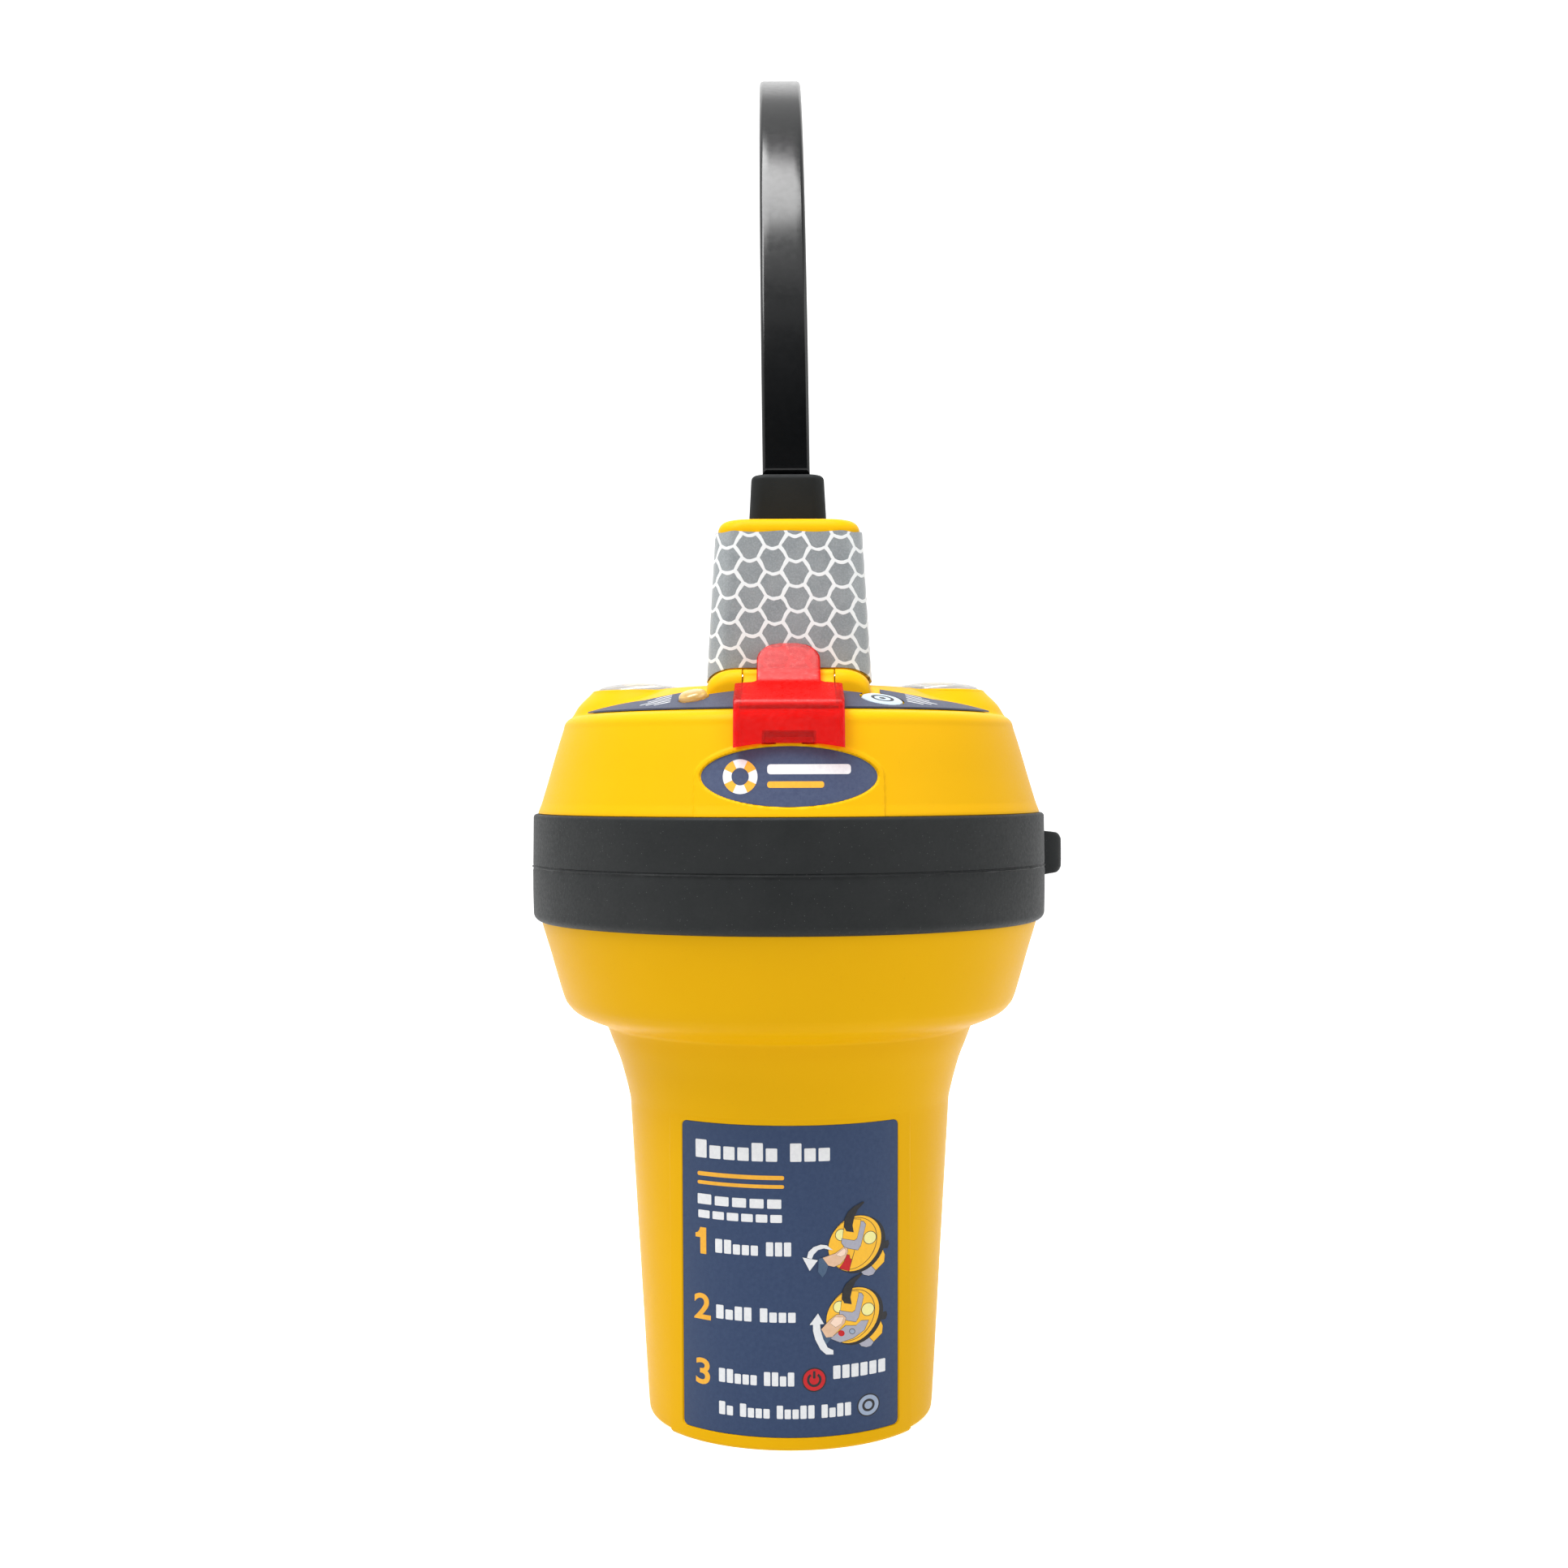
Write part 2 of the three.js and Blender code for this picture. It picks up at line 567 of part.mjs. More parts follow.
function breakTab() {
  const slope = 0.252; // of the tab's top plate
  const outer = (y) => 122.7 + slope * (y + 36.5);
  const inner = (y) => outer(y) - TAB.thick;
  const legInside = [
    [-40.7, 114.2],
    [-39.65, 118],
    [-38.5, 120.1],
    [-36.9, 121.6],
    [-36, inner(-36)],
  ];
  const side = outline([
    [-41.55, 114.2],
    [-40.5, 118],
    [-39.2, 120.5],
    [-37.4, 122.2],
    [-36.4, outer(-36.4)],
    [-26, outer(-26)],
    [-25.3, 126.1],
    [-20.5, 131.9],
    [-19.95, 131.4],
    [-24.6, 125.7],
    [-25.1, inner(-25.1)],
    ...legInside.toReversed(),
  ]);
  const { half, tongueHalf } = TAB;
  const plan = new THREE.Shape();
  plan.moveTo(-half, -50);
  plan.lineTo(-half, -26.4);
  plan.quadraticCurveTo(-half, -25.6, -half + 0.8, -25.6);
  plan.quadraticCurveTo(-tongueHalf, -25.5, -tongueHalf, -24.6);
  plan.lineTo(-tongueHalf, -22.2);
  plan.quadraticCurveTo(-tongueHalf, -19.8, -2.6, -19.8);
  plan.lineTo(2.6, -19.8);
  plan.quadraticCurveTo(tongueHalf, -19.8, tongueHalf, -22.2);
  plan.lineTo(tongueHalf, -24.6);
  plan.quadraticCurveTo(tongueHalf, -25.5, half - 0.8, -25.6);
  plan.quadraticCurveTo(half, -25.6, half, -26.4);
  plan.lineTo(half, -50);
  const arch = ellipse(PAD_HALF + 1.2, BADGE.tall + 0.95, BADGE.z - 0.4);
  const cheeks = outline([...legInside, [-35, inner(-35)], [-35, 120], [-38, 117], [-39, 114.2]]);
  const plate = carry(side, 2 * half).intersect(raise(plan, 105, 140));
  const latch = box(-SLOT.half + 0.4, SLOT.half - 0.4, -40.6, -38.8, 115.1, 116);
  const ribs = [-1, 1].map((end) => carry(cheeks, 0.9).translate([end * (half - 0.45), 0, 0]));
  const clearance = turn([[0, 97], ...upperOutline(0.35), [DECK_EDGE.r - 4, 122], [0, 122]]);
  const whole = ribs.reduce((tab, rib) => tab.add(rib.subtract(clearance)), plate);
  return whole.subtract(project(arch, 60)).add(latch);
}

// ---------------------------------------------------------------- antenna
function antennaBlade() {
  const foot = BOOT.high + GAP + BLADE.thick / 2;
  const turnAngle = THREE.MathUtils.degToRad(BLADE.turn);
  const half = BLADE.thick / 2;
  const s = new THREE.Shape();
  s.absarc(BLADE.bend, foot, BLADE.bend + half, Math.PI, Math.PI - turnAngle, true);
  s.absarc(BLADE.bend, foot, BLADE.bend - half, Math.PI - turnAngle, Math.PI, false);
  s.closePath();
  const blade = carry(s, BLADE.width, 18);
  const heel = disc(half, -BLADE.width / 2, BLADE.width / 2, [0, 0], 16).rotate([0, 90, 0]);
  return blade.transform(leanAt(foot)).add(heel.translate([0, 0, foot]));
}

// The blade leans slightly towards -X above height z.
function leanAt(z) {
  const m = new THREE.Matrix4().makeShear(0, 0, 0, 0, -BLADE.lean, 0);
  m.elements[8] = -BLADE.lean;
  m.elements[12] = BLADE.lean * z;
  return m.elements;
}

function antennaBoot() {
  const bevel = 0.9;
  const section = roundedRect(BOOT.width - 2 * bevel, BOOT.depth - 2 * bevel, 1.5);
  const g = new THREE.ExtrudeGeometry(section, {
    depth: BOOT.high - BOOT.low - bevel,
    bevelEnabled: true,
    bevelSize: bevel,
    bevelThickness: bevel,
    bevelSegments: 3,
    curveSegments: 4,
  });
  g.translate(0, 0, BOOT.low);
  const p = g.getAttribute("position");
  for (let i = 0; i < p.count; i++) {
    const share = (p.getZ(i) - BOOT.low) / (BOOT.high - BOOT.low);
    p.setX(i, p.getX(i) * (1 - (share * BOOT.taper) / (BOOT.width / 2)));
  }
  const body = solid(g).subtract(box(-20, 20, -20, 20, 147, BOOT.low));
  const plug = box(-5.1, 5.1, -2.3, 2.3, 149, BOOT.low + 1);
  return body.add(plug).subtract(box(-3.3, 3.3, -1.1, 1.1, 145, 161));
}

function antennaTang() {
  return box(-3, 3, -0.8, 0.8, 141, 160.6);
}

function antennaSocket() {
  return box(-5, 5, -4, 4, 139, 148.4).subtract(box(-3.3, 3.3, -1.1, 1.1, 140.4, 150));
}

function feedCable() {
  const route = new THREE.CatmullRomCurve3(
    [
      [0, 0, 138.6],
      [0, 0, 132],
      [0, 3, 122],
      [0, 9, 110],
      [0, 11, 98],
      [0, 11, BOARD.z + BOARD.thick + GAP],
    ].map((p) => new THREE.Vector3(...p)),
  );
  const section = new THREE.Shape().absarc(0, 0, 1.1, 0, 2 * Math.PI);
  return solid(new THREE.ExtrudeGeometry(section, { steps: 18, extrudePath: route, curveSegments: 4 }));
}

// ---------------------------------------------------------------- assembly
add("upper_case", upperCase(), YELLOW);
add("lower_case", lowerCase(), YELLOW);
add("bumper_ring", bumperRing(), RUBBER);
add("case_seal", turn([[39.2, 95.6], [40.1, 95.6], [40.1, 96.7], [39.2, 96.7]]), RUBBER);
screwPlaces.forEach(({ x, y }, i) => {
  const head = radialDisc(2.5, SKIRT_R - 0.9, SKIRT_R, x, y);
  add(`case_screw_${i + 1}`, head.add(radialDisc(1, 37.6, SKIRT_R - 0.5, x, y)), STEEL);
});

add("instruction_label", instructionLabel(), NAVY);
add("badge_plate", badgePlate(), NAVY);
add("keypad_overlay", keypadOverlay(), NAVY);
add("reflective_tape", reflectiveTape(), TAPE_GREY);

for (const [name, side] of sides) {
  const at = [side * LENS.x, 0];
  add(`strobe_lens_${name}`, strobeLens(at), CLEAR);
  add(`strobe_reflector_${name}`, strobeReflector(at), CHROME);
  add(`strobe_led_${name}`, strobeEmitter(at), CERAMIC);
  add(`strobe_board_${name}`, disc(6.6, 114.6, 116.1, at), CIRCUIT);
  const { x, y } = contactAxis(side);
  const head = radialDisc(CONTACT.r, 41.3, 42.2, x, y, CONTACT.z);
  add(`water_contact_${name}`, head.add(radialDisc(1, 36, 42, x, y, CONTACT.z)), STEEL);
}
add(
  "indicator_lens",
  onDeck(disc(INDICATOR.r, -0.2, 1.7).add(disc(INDICATOR.r - 0.9, -3.4, 0)), INDICATOR.at),
  CLEAR,
);

add("on_key", key(KEYS.on, -0.4), KEY_RED);
add("test_key", key(KEYS.test, 0.5), KEY_BLUE);
for (const [name, at] of Object.entries(KEYS)) {
  const domeSwitch = disc(1.3, -4.4, -3.8, [0, 0], 12).add(box(-3, 3, -3, 3, -6, -4.2));
  add(`${name}_switch`, onDeck(domeSwitch, at), STEEL);
}
add("key_flap", keyFlap(), YELLOW);
add(
  "flap_hinge_pin",
  disc(HINGE.pin, -11.4, 11.4, [0, 0], 12).rotate([0, 90, 0]).translate([0, HINGE.y, HINGE.z]),
  STEEL,
);
add("break_tab", breakTab(), RED_CLEAR);

add("antenna_blade", antennaBlade(), BLADE_BLACK);
add("antenna_boot", antennaBoot(), RUBBER);
add("antenna_tang", antennaTang(), STEEL);
add("antenna_socket", antennaSocket(), BRASS);
add("feed_cable", feedCable(), RUBBER);

const boardHoles = boardPosts.map(({ x, y }) => disc(1.3, BOARD.z - 1, BOARD.z + 4, [x, y], 12));
const boardDisc = disc(BOARD.r, BOARD.z, BOARD.z + BOARD.thick, [0, 0], 24);
add("main_board", boardHoles.reduce((board, hole) => board.subtract(hole), boardDisc), CIRCUIT);
boardPosts.forEach(({ x, y }, i) => {
  const top = BOARD.z + BOARD.thick + GAP;
  const shank = disc(0.9, BOARD.z - 5, top + 0.2, [x, y], 12);
  add(`board_screw_${i + 1}`, shank.add(disc(2, top, top + 1.2, [x, y], 12)), STEEL);
});
const boardTop = BOARD.z + BOARD.thick + GAP;
add("radio_shield", box(-15, 15, -24, 2, boardTop, boardTop + 4), STEEL);
add("position_antenna", box(-9, 9, 15, 33 - 2, boardTop, boardTop + 4), CERAMIC);
const reed = disc(1.1, -7, 7, [0, 0], 12).rotate([90, 0, 0]);
add("magnet_switch", reed.translate([22, 0, boardTop + 1.4]), STEEL);

[0, 1].forEach((layer) =>
  [90, 210, 330].forEach((degrees, i) => {
    const a = THREE.MathUtils.degToRad(degrees);
    const at = [CELL.ring * Math.cos(a), CELL.ring * Math.sin(a)];
    const z = CELL.low + layer * CELL.step;
    add(`battery_cell_${layer * 3 + i + 1}`, disc(CELL.r, z, z + CELL.h, at), CELL_WRAP);
  }),
);
add("battery_foot", disc(20, 2.9, 4.2, [0, 0], 24), CIRCUIT);
add("battery_cap", disc(21.5, 72.9, 74.5, [0, 0], 24), CIRCUIT);

export default group;
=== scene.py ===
"""Looks for the emergency position beacon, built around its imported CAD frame.

Lengths are millimetres until a mesh is made. +Z is up, and the front faces -Y.
"""

import math

import bmesh
import bpy
import numpy as np
from mathutils import Matrix, Vector


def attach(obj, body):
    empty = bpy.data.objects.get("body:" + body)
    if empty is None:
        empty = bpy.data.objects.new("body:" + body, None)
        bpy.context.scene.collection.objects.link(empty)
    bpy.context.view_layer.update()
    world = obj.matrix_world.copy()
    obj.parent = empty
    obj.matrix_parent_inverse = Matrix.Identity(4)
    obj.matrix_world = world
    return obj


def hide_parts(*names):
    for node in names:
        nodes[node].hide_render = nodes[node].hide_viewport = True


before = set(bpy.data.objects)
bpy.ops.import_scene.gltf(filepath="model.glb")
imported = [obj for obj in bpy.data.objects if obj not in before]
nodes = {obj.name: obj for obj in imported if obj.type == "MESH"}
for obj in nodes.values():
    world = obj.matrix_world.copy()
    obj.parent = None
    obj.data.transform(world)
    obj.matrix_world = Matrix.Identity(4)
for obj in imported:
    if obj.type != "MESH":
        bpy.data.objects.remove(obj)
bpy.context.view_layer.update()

MM = 0.001

# ---------------------------------------------------------------- driving dimensions, as in the CAD
BASE_R, NECK_TOP_R, NECK_TOP_Z = 24.6, 27.8, 54.3
PAD_HALF, PAD_PROUD = 19.9, 0.3
DECK_R, DECK_Z, DECK_SLOPE, DECK_FLAT = 36.0, 120.4, 0.325, 21.5
LENS_X, LENS_R, LENS_RIM, LENS_APEX = 26.0, 7.4, 124.9, 126.4
LENS_HOLE = 7.55
LABEL_HALF, LABEL_LOW, LABEL_HIGH, LABEL_CORNER = 17.8, 2.1, 53.5, 0.8
BADGE_HALF, BADGE_TALL, BADGE_Z, BADGE_PAD = 13.9, 4.85, 109.9, 14.8
SLOT_HALF, SLOT_LOW, SLOT_HIGH = 4.15, 114.6, 117.0
KEY_R, TEST_AT, ON_AT = 3.4, (15.1, -27.0), (0.0, -29.0)
INDICATOR_R, INDICATOR_AT = 2.4, (-15.4, -26.0)
HINGE_Y, HINGE_Z, HINGE_R, HINGE_HALF = -21.8, 126.0, 1.5, 7.5
FLAP_FRONT, FLAP_UNDER, FLAP_THICK = -33.8, -0.25, 0.8
LOBE_HALF, LOBE_FRONT, LOBE_TOP = 13.2, -24.7, 127.5
TAB_HALF, TONGUE_HALF, TAB_THICK = 8.7, 5.2, 0.85
MAST_X, MAST_Y, MAST_HALF_X, MAST_HALF_Y = 0.15, -1.75, 13.62, 17.5
MAST_TAPER, MAST_FOOT, MAST_TOP, MAST_CORNER = 0.058, 122.0, 153.05, 4.0
TAPE_LOW, TAPE_HIGH, TAPE_OVER_LOBES, TAPE_PROUD = 125.7, 150.7, 127.95, 0.44
BOOT_LOW, BOOT_HIGH, BOOT_WIDTH, BOOT_DEPTH = 153.05, 162.35, 13.6, 9.0
BLADE_FOOT, BLADE_BEND, BLADE_TURN, BLADE_LEAN, BLADE_X = 163.8, 93.9, 75.0, 0.0105, -0.25
BLADE_WIDTH, BLADE_THICK = 8.3, 2.4
RING_LOW, RING_HIGH, RING_SEAM = 85.2, 103.6, 94.6
HOOK_AZIMUTH = 100.0

TAPE_PHASE = (1.9, 0.6)

rng = np.random.default_rng(7)


# ---------------------------------------------------------------- small maths
def smoothstep(value, low, high):
    t = np.clip((np.asarray(value, float) - low) / (high - low), 0, 1)
    return t * t * (3 - 2 * t)


def smooth_max(a, b, k):
    h = np.clip(0.5 + 0.5 * (a - b) / k, 0, 1)
    return b + (a - b) * h + k * h * (1 - h)


def merged(*lists, least=0.04):
    """Sorted values from several lists, with near-duplicates dropped."""
    values = np.sort(np.concatenate([np.asarray(v, float) for v in lists]))
    kept = [values[0]]
    for v in values[1:]:
        if v - kept[-1] > least:
            kept.append(v)
    return np.array(kept)


def curve_through(points, step=0.6, corners=()):
    """A smooth line through (r, z) points. It keeps a corner at each index in corners."""
    points = np.asarray(points, float)
    stops = [0, *corners, len(points) - 1]
    out = []
    for first, last in zip(stops, stops[1:]):
        part = points[first : last + 1]
        padded = np.vstack([2 * part[0] - part[1], part, 2 * part[-1] - part[-2]])
        for i in range(1, len(padded) - 2):
            p0, p1, p2, p3 = padded[i - 1 : i + 3]
            count = max(1, int(np.ceil(np.linalg.norm(p2 - p1) / step)))
            for t in np.arange(count) / count:
                a = 2 * p1 + (p2 - p0) * t
                b = (2 * p0 - 5 * p1 + 4 * p2 - p3) * t**2
                c = (3 * p1 - p0 - 3 * p2 + p3) * t**3
                out.append(0.5 * (a + b + c))
    out.append(points[-1])
    return np.array(out)


def box_distance(x, z, half, low, high, corner):
    """Signed distance to a rounded rectangle in (x, z), negative inside."""
    dx = np.abs(x) - (half - corner)
    dz = np.abs(z - (low + high) / 2) - ((high - low) / 2 - corner)
    outside = np.hypot(np.maximum(dx, 0), np.maximum(dz, 0))
    return outside + np.minimum(np.maximum(dx, dz), 0) - corner


def oval_distance(x, z, half_x, half_z, centre):
    """About the signed distance to an oval in (x, z), negative inside."""
    k = np.hypot(x / half_x, (z - centre) / half_z)
    steep = np.hypot(x / half_x**2, (z - centre) / half_z**2)
    return k * (k - 1) / np.maximum(steep, 1e-6)


# ---------------------------------------------------------------- mesh helpers
def grid_faces(rows, columns, wrap=False):
    faces = []
    last = columns if wrap else columns - 1
    for i in range(rows - 1):
        for j in range(last):
            k = (j + 1) % columns
            faces.append(
                (i * columns + j, i * columns + k, (i + 1) * columns + k, (i + 1) * columns + j)
            )
    return faces


def finish_piece(piece, body, replaces=()):
    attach(piece, body)
    if replaces:
        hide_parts(*replaces)
    return piece


def mesh_piece(name, verts, faces, material, body, replaces=(), sharp=40, uv=None):
    """A piece from millimetre vertices, with edges sharper than the given angle kept crisp."""
    mesh = bpy.data.meshes.new(name)
    mesh.from_pydata((np.asarray(verts, float) * MM).tolist(), [], [tuple(f) for f in faces])
    if uv is not None:
        layer = mesh.uv_layers.new(name="UVMap")
        loops = np.zeros(len(mesh.loops), np.int32)
        mesh.loops.foreach_get("vertex_index", loops)
        layer.data.foreach_set("uv", np.asarray(uv, np.float32)[loops].ravel())
    bm = bmesh.new()
    bm.from_mesh(mesh)
    bmesh.ops.recalc_face_normals(bm, faces=bm.faces)
    bm.to_mesh(mesh)
    bm.free()
    mesh.shade_smooth()
    mesh.set_sharp_from_angle(angle=math.radians(sharp))
    for m in material if isinstance(material, list) else [material]:
        mesh.materials.append(m)
    piece = bpy.data.objects.new(name, mesh)
    bpy.context.scene.collection.objects.link(piece)
    return finish_piece(piece, body, replaces)


def joined(*parts):
    """Several (verts, faces) as one."""
    verts, faces, start = [], [], 0
    for v, f in parts:
        verts.append(np.asarray(v, float))
        faces += [tuple(i + start for i in face) for face in f]
        start += len(v)
    return np.vstack(verts), faces


def turned(profile, segments=96, centre=(0, 0)):
    """A profile of (r, z) points turned about a vertical line. Points on the line become one vertex."""
    profile = np.asarray(profile, float)
    angles = np.arange(segments) * 2 * math.pi / segments
    verts, rings = [], []
    for r, z in profile:
        if r < 1e-6:
            rings.append([len(verts)] * segments)
            verts.append((centre[0], centre[1], z))
        else:
            start = len(verts)
            rings.append(list(range(start, start + segments)))
            for a in angles:
                verts.append((centre[0] + r * math.cos(a), centre[1] + r * math.sin(a), z))
    faces = []
    for lower, upper in zip(rings, rings[1:]):
        for j in range(segments):
            k = (j + 1) % segments
            face = list(dict.fromkeys([lower[j], lower[k], upper[k], upper[j]]))
            if len(face) > 2:
                faces.append(face)
    return np.array(verts), faces


def on_deck(verts, at, lift=0.0):
    """Vertices built about the origin, placed on the deck and square to its slope."""
    r, azimuth = math.hypot(*at), math.atan2(at[0], -at[1])
    place = (
        Matrix.Translation((at[0], at[1], deck_z(r)))
        @ Matrix.Rotation(azimuth, 4, "Z")
        @ Matrix.Rotation(math.atan(DECK_SLOPE), 4, "X")
        @ Matrix.Translation((0, 0, lift))
    )
    return np.array([place @ Vector(v) for v in verts])


def rounded_outline(half_x, half_y, corner, per_corner=10, per_side=12):
    """Points round a rounded rectangle, from the middle of the front side, anticlockwise."""
    points = []
    ends = [(1, -1, -90), (1, 1, 0), (-1, 1, 90), (-1, -1, 180)]
    for sx, sy, start in ends:
        for i in range(per_corner + 1):
            a = math.radians(start + 90 * i / per_corner)
            points.append(
                (
                    sx * (half_x - corner) + corner * math.cos(a),
                    sy * (half_y - corner) + corner * math.sin(a),
                )
            )
    dense = []
    for a, b in zip(points, points[1:] + points[:1]):
        gap = math.dist(a, b)
        steps = per_side if gap > 2 * corner * math.pi / 2 / per_corner else 1
        for i in range(steps):
            dense.append((a[0] + (b[0] - a[0]) * i / steps, a[1] + (b[1] - a[1]) * i / steps))
    front = min(range(len(dense)), key=lambda i: (abs(dense[i][0]) + (dense[i][1] > 0) * 100))
    return np.array(dense[front:] + dense[:front])


def bevelled(piece, width, segments=3, angle=32):
    """Rounds a piece's sharp edges."""
    bevel = piece.modifiers.new("edges", "BEVEL")
    bevel.width = width * MM
    bevel.segments = segments
    bevel.limit_method = "ANGLE"
    bevel.angle_limit = math.radians(angle)
    bevel.harden_normals = True
    return piece


def prism(profile, half):
    """A closed (y, z) outline carried along X from -half to half."""
    profile = np.asarray(profile, float)
    n = len(profile)
    verts = [(-half, y, z) for y, z in profile] + [(half, y, z) for y, z in profile]
    faces = [(i, (i + 1) % n, n + (i + 1) % n, n + i) for i in range(n)]
    return np.array(verts), faces + [tuple(range(n)), tuple(range(n, 2 * n))]


# ---------------------------------------------------------------- node helpers
class Shader:
    """A material's node tree with short ways to add nodes."""

    def __init__(self, name):
        self.material = bpy.data.materials.new(name)
        self.material.use_nodes = True
        self.tree = self.material.node_tree
        self.bsdf = next(n for n in self.tree.nodes if n.type == "BSDF_PRINCIPLED")

    def add(self, kind, **settings):
        node = self.tree.nodes.new(kind)
        for key, value in settings.items():
            setattr(node, key, value)
        return node

    def feed(self, socket, value):
        if isinstance(value, bpy.types.NodeSocket):
            self.tree.links.new(value, socket)
        elif isinstance(value, (tuple, list)) and len(value) == 3 and socket.type == "RGBA":
            socket.default_value = (*value, 1)
        else:
            socket.default_value = value

    def set(self, **values):
        for key, value in values.items():
            self.feed(self.bsdf.inputs[key.replace("_", " ")], value)
        return self

    def maths(self, operation, a, b=0.0, c=0.0, clamp=False):
        node = self.add("ShaderNodeMath", operation=operation, use_clamp=clamp)
        for socket, value in zip(node.inputs, (a, b, c)):
            self.feed(socket, value)
        return node.outputs[0]

    def mix(self, share, a, b):
        node = self.add("ShaderNodeMix", data_type="RGBA")
        self.feed(node.inputs["Factor"], share)
        self.feed(node.inputs[6], a)
        self.feed(node.inputs[7], b)
        return node.outputs[2]

    def span(self, value, low, high, to_low, to_high, smooth=False):
        node = self.add("ShaderNodeMapRange", clamp=True)
        node.interpolation_type = "SMOOTHSTEP" if smooth else "LINEAR"
        for socket, v in zip(node.inputs, (value, low, high, to_low, to_high)):
            self.feed(socket, v)
        return node.outputs[0]

    def place(self):
        """The point on the surface, in metres."""
        return self.add("ShaderNodeTexCoord").outputs["Object"]

    def noise(self, scale, detail=4.0, rough=0.55, vector=None, stretch=None):
        vector = vector or self.place()
        if stretch:
            mapping = self.add("ShaderNodeMapping")
            self.feed(mapping.inputs["Vector"], vector)
            mapping.inputs["Scale"].default_value = stretch
            vector = mapping.outputs[0]
        node = self.add("ShaderNodeTexNoise")
        self.feed(node.inputs["Vector"], vector)
        node.inputs["Scale"].default_value = scale
        node.inputs["Detail"].default_value = detail
        node.inputs["Roughness"].default_value = rough
        return node.outputs["Fac"]

    def specks(self, scale, size):
        """1 in small scattered dots, 0 elsewhere."""
        node = self.add("ShaderNodeTexVoronoi")
        self.feed(node.inputs["Vector"], self.place())
        node.inputs["Scale"].default_value = scale
        chosen = self.maths("GREATER_THAN", self.channel(node.outputs["Color"], 0), 0.86)
        dot = self.span(node.outputs["Distance"], size, size * 1.8, 1, 0)
        return self.maths("MULTIPLY", chosen, dot)

    def channel(self, colour, index):
        node = self.add("ShaderNodeSeparateColor")
        self.feed(node.inputs[0], colour)
        return node.outputs[index]

    def bump(self, height, strength, distance_mm):
        node = self.add("ShaderNodeBump")
        node.inputs["Strength"].default_value = strength
        node.inputs["Distance"].default_value = distance_mm * MM
        self.feed(node.inputs["Height"], height)
        self.feed(self.bsdf.inputs["Normal"], node.outputs[0])
        return self


def moulded(name, colour, shade, rough=(0.38, 0.48), grain=2600, depth=0.05, strength=0.25, shine=0.25):
    """Moulded plastic or rubber: uneven colour, uneven gloss and a fine grain."""
    s = Shader(name)
    patches = s.span(s.noise(38, 3), 0.35, 0.65, 0, 1)
    fine = s.noise(grain, 2, 0.6)
    s.set(Base_Color=s.mix(patches, colour, shade), Roughness=s.span(s.noise(900, 3), 0.3, 0.7, *rough))
    s.set(Specular_IOR_Level=shine)
    s.bump(fine, strength, depth)
    return s.material


def metal(name, colour, rough=(0.18, 0.34)):
    s = Shader(name)
    brushed = s.noise(500, 4, 0.6, stretch=(1, 1, 14))
    s.set(Base_Color=s.mix(s.span(s.noise(220, 3), 0.3, 0.7, 0, 1), colour, tuple(c * 0.8 for c in colour)))
    s.set(Metallic=1.0, Roughness=s.span(brushed, 0.3, 0.7, *rough))
    s.bump(brushed, 0.15, 0.02)
    return s.material


def case_yellow():
    """Satin yellow plastic with a fine spark-eroded texture, faint flow marks and a few scuffs."""
    s = Shader("case_yellow")
    cloud = s.span(s.noise(24, 4), 0.35, 0.68, 0, 1)
    colour = s.mix(cloud, (0.69, 0.372, 0.0015), (0.67, 0.357, 0.0012))
    dust = s.specks(1500, 0.10)
    colour = s.mix(s.maths("MULTIPLY", dust, 0.25), colour, (0.50, 0.26, 0.01))
    grain = s.noise(2400, 3, 0.62)
    scuff = s.span(s.noise(130, 6, 0.7, stretch=(1, 1, 0.25)), 0.62, 0.72, 0, 0.08)
    rough = s.maths("ADD", s.span(grain, 0.3, 0.7, 0.36, 0.47), scuff)
    s.set(Base_Color=colour, Roughness=rough, Specular_IOR_Level=0.045)
    s.set(Subsurface_Weight=0.08, Subsurface_Radius=(0.9, 0.45, 0.05), Subsurface_Scale=0.0012)
    s.bump(grain, 0.22, 0.045)
    return s.material


def belt_rubber():
    """Matte black rubber with fine pale specks and faint scuffs."""
    s = Shader("belt_rubber")
    cloud = s.span(s.noise(60, 5, 0.65), 0.35, 0.68, 0, 1)
    colour = s.mix(cloud, (0.010, 0.0115, 0.012), (0.0155, 0.017, 0.0175))
    scuff = s.span(s.noise(420, 6, 0.72, stretch=(1, 1, 4)), 0.62, 0.78, 0, 0.25)
    colour = s.mix(scuff, colour, (0.04, 0.042, 0.042))
    colour = s.mix(s.maths("MULTIPLY", s.specks(2600, 0.10), 0.4), colour, (0.14, 0.145, 0.14))
    grain = s.noise(1900, 4, 0.65)
    s.set(Base_Color=colour, Roughness=s.span(grain, 0.3, 0.7, 0.50, 0.66), Specular_IOR_Level=0.17)
    s.bump(grain, 0.35, 0.05)
    return s.material


def printed_film(name, colour, shade, rough=0.42):
    """A printed plastic film: mottled ink under a finely textured face."""
    s = Shader(name)
    mottle = s.span(s.noise(1500, 3, 0.7), 0.3, 0.7, 0, 1)
    colour = s.mix(mottle, colour, shade)
    grain = s.noise(4200, 2, 0.6)
    s.set(Base_Color=colour, Roughness=s.span(grain, 0.3, 0.7, rough - 0.06, rough + 0.08))
    s.set(Specular_IOR_Level=0.2)
    s.bump(grain, 0.3, 0.03)
    return s.material


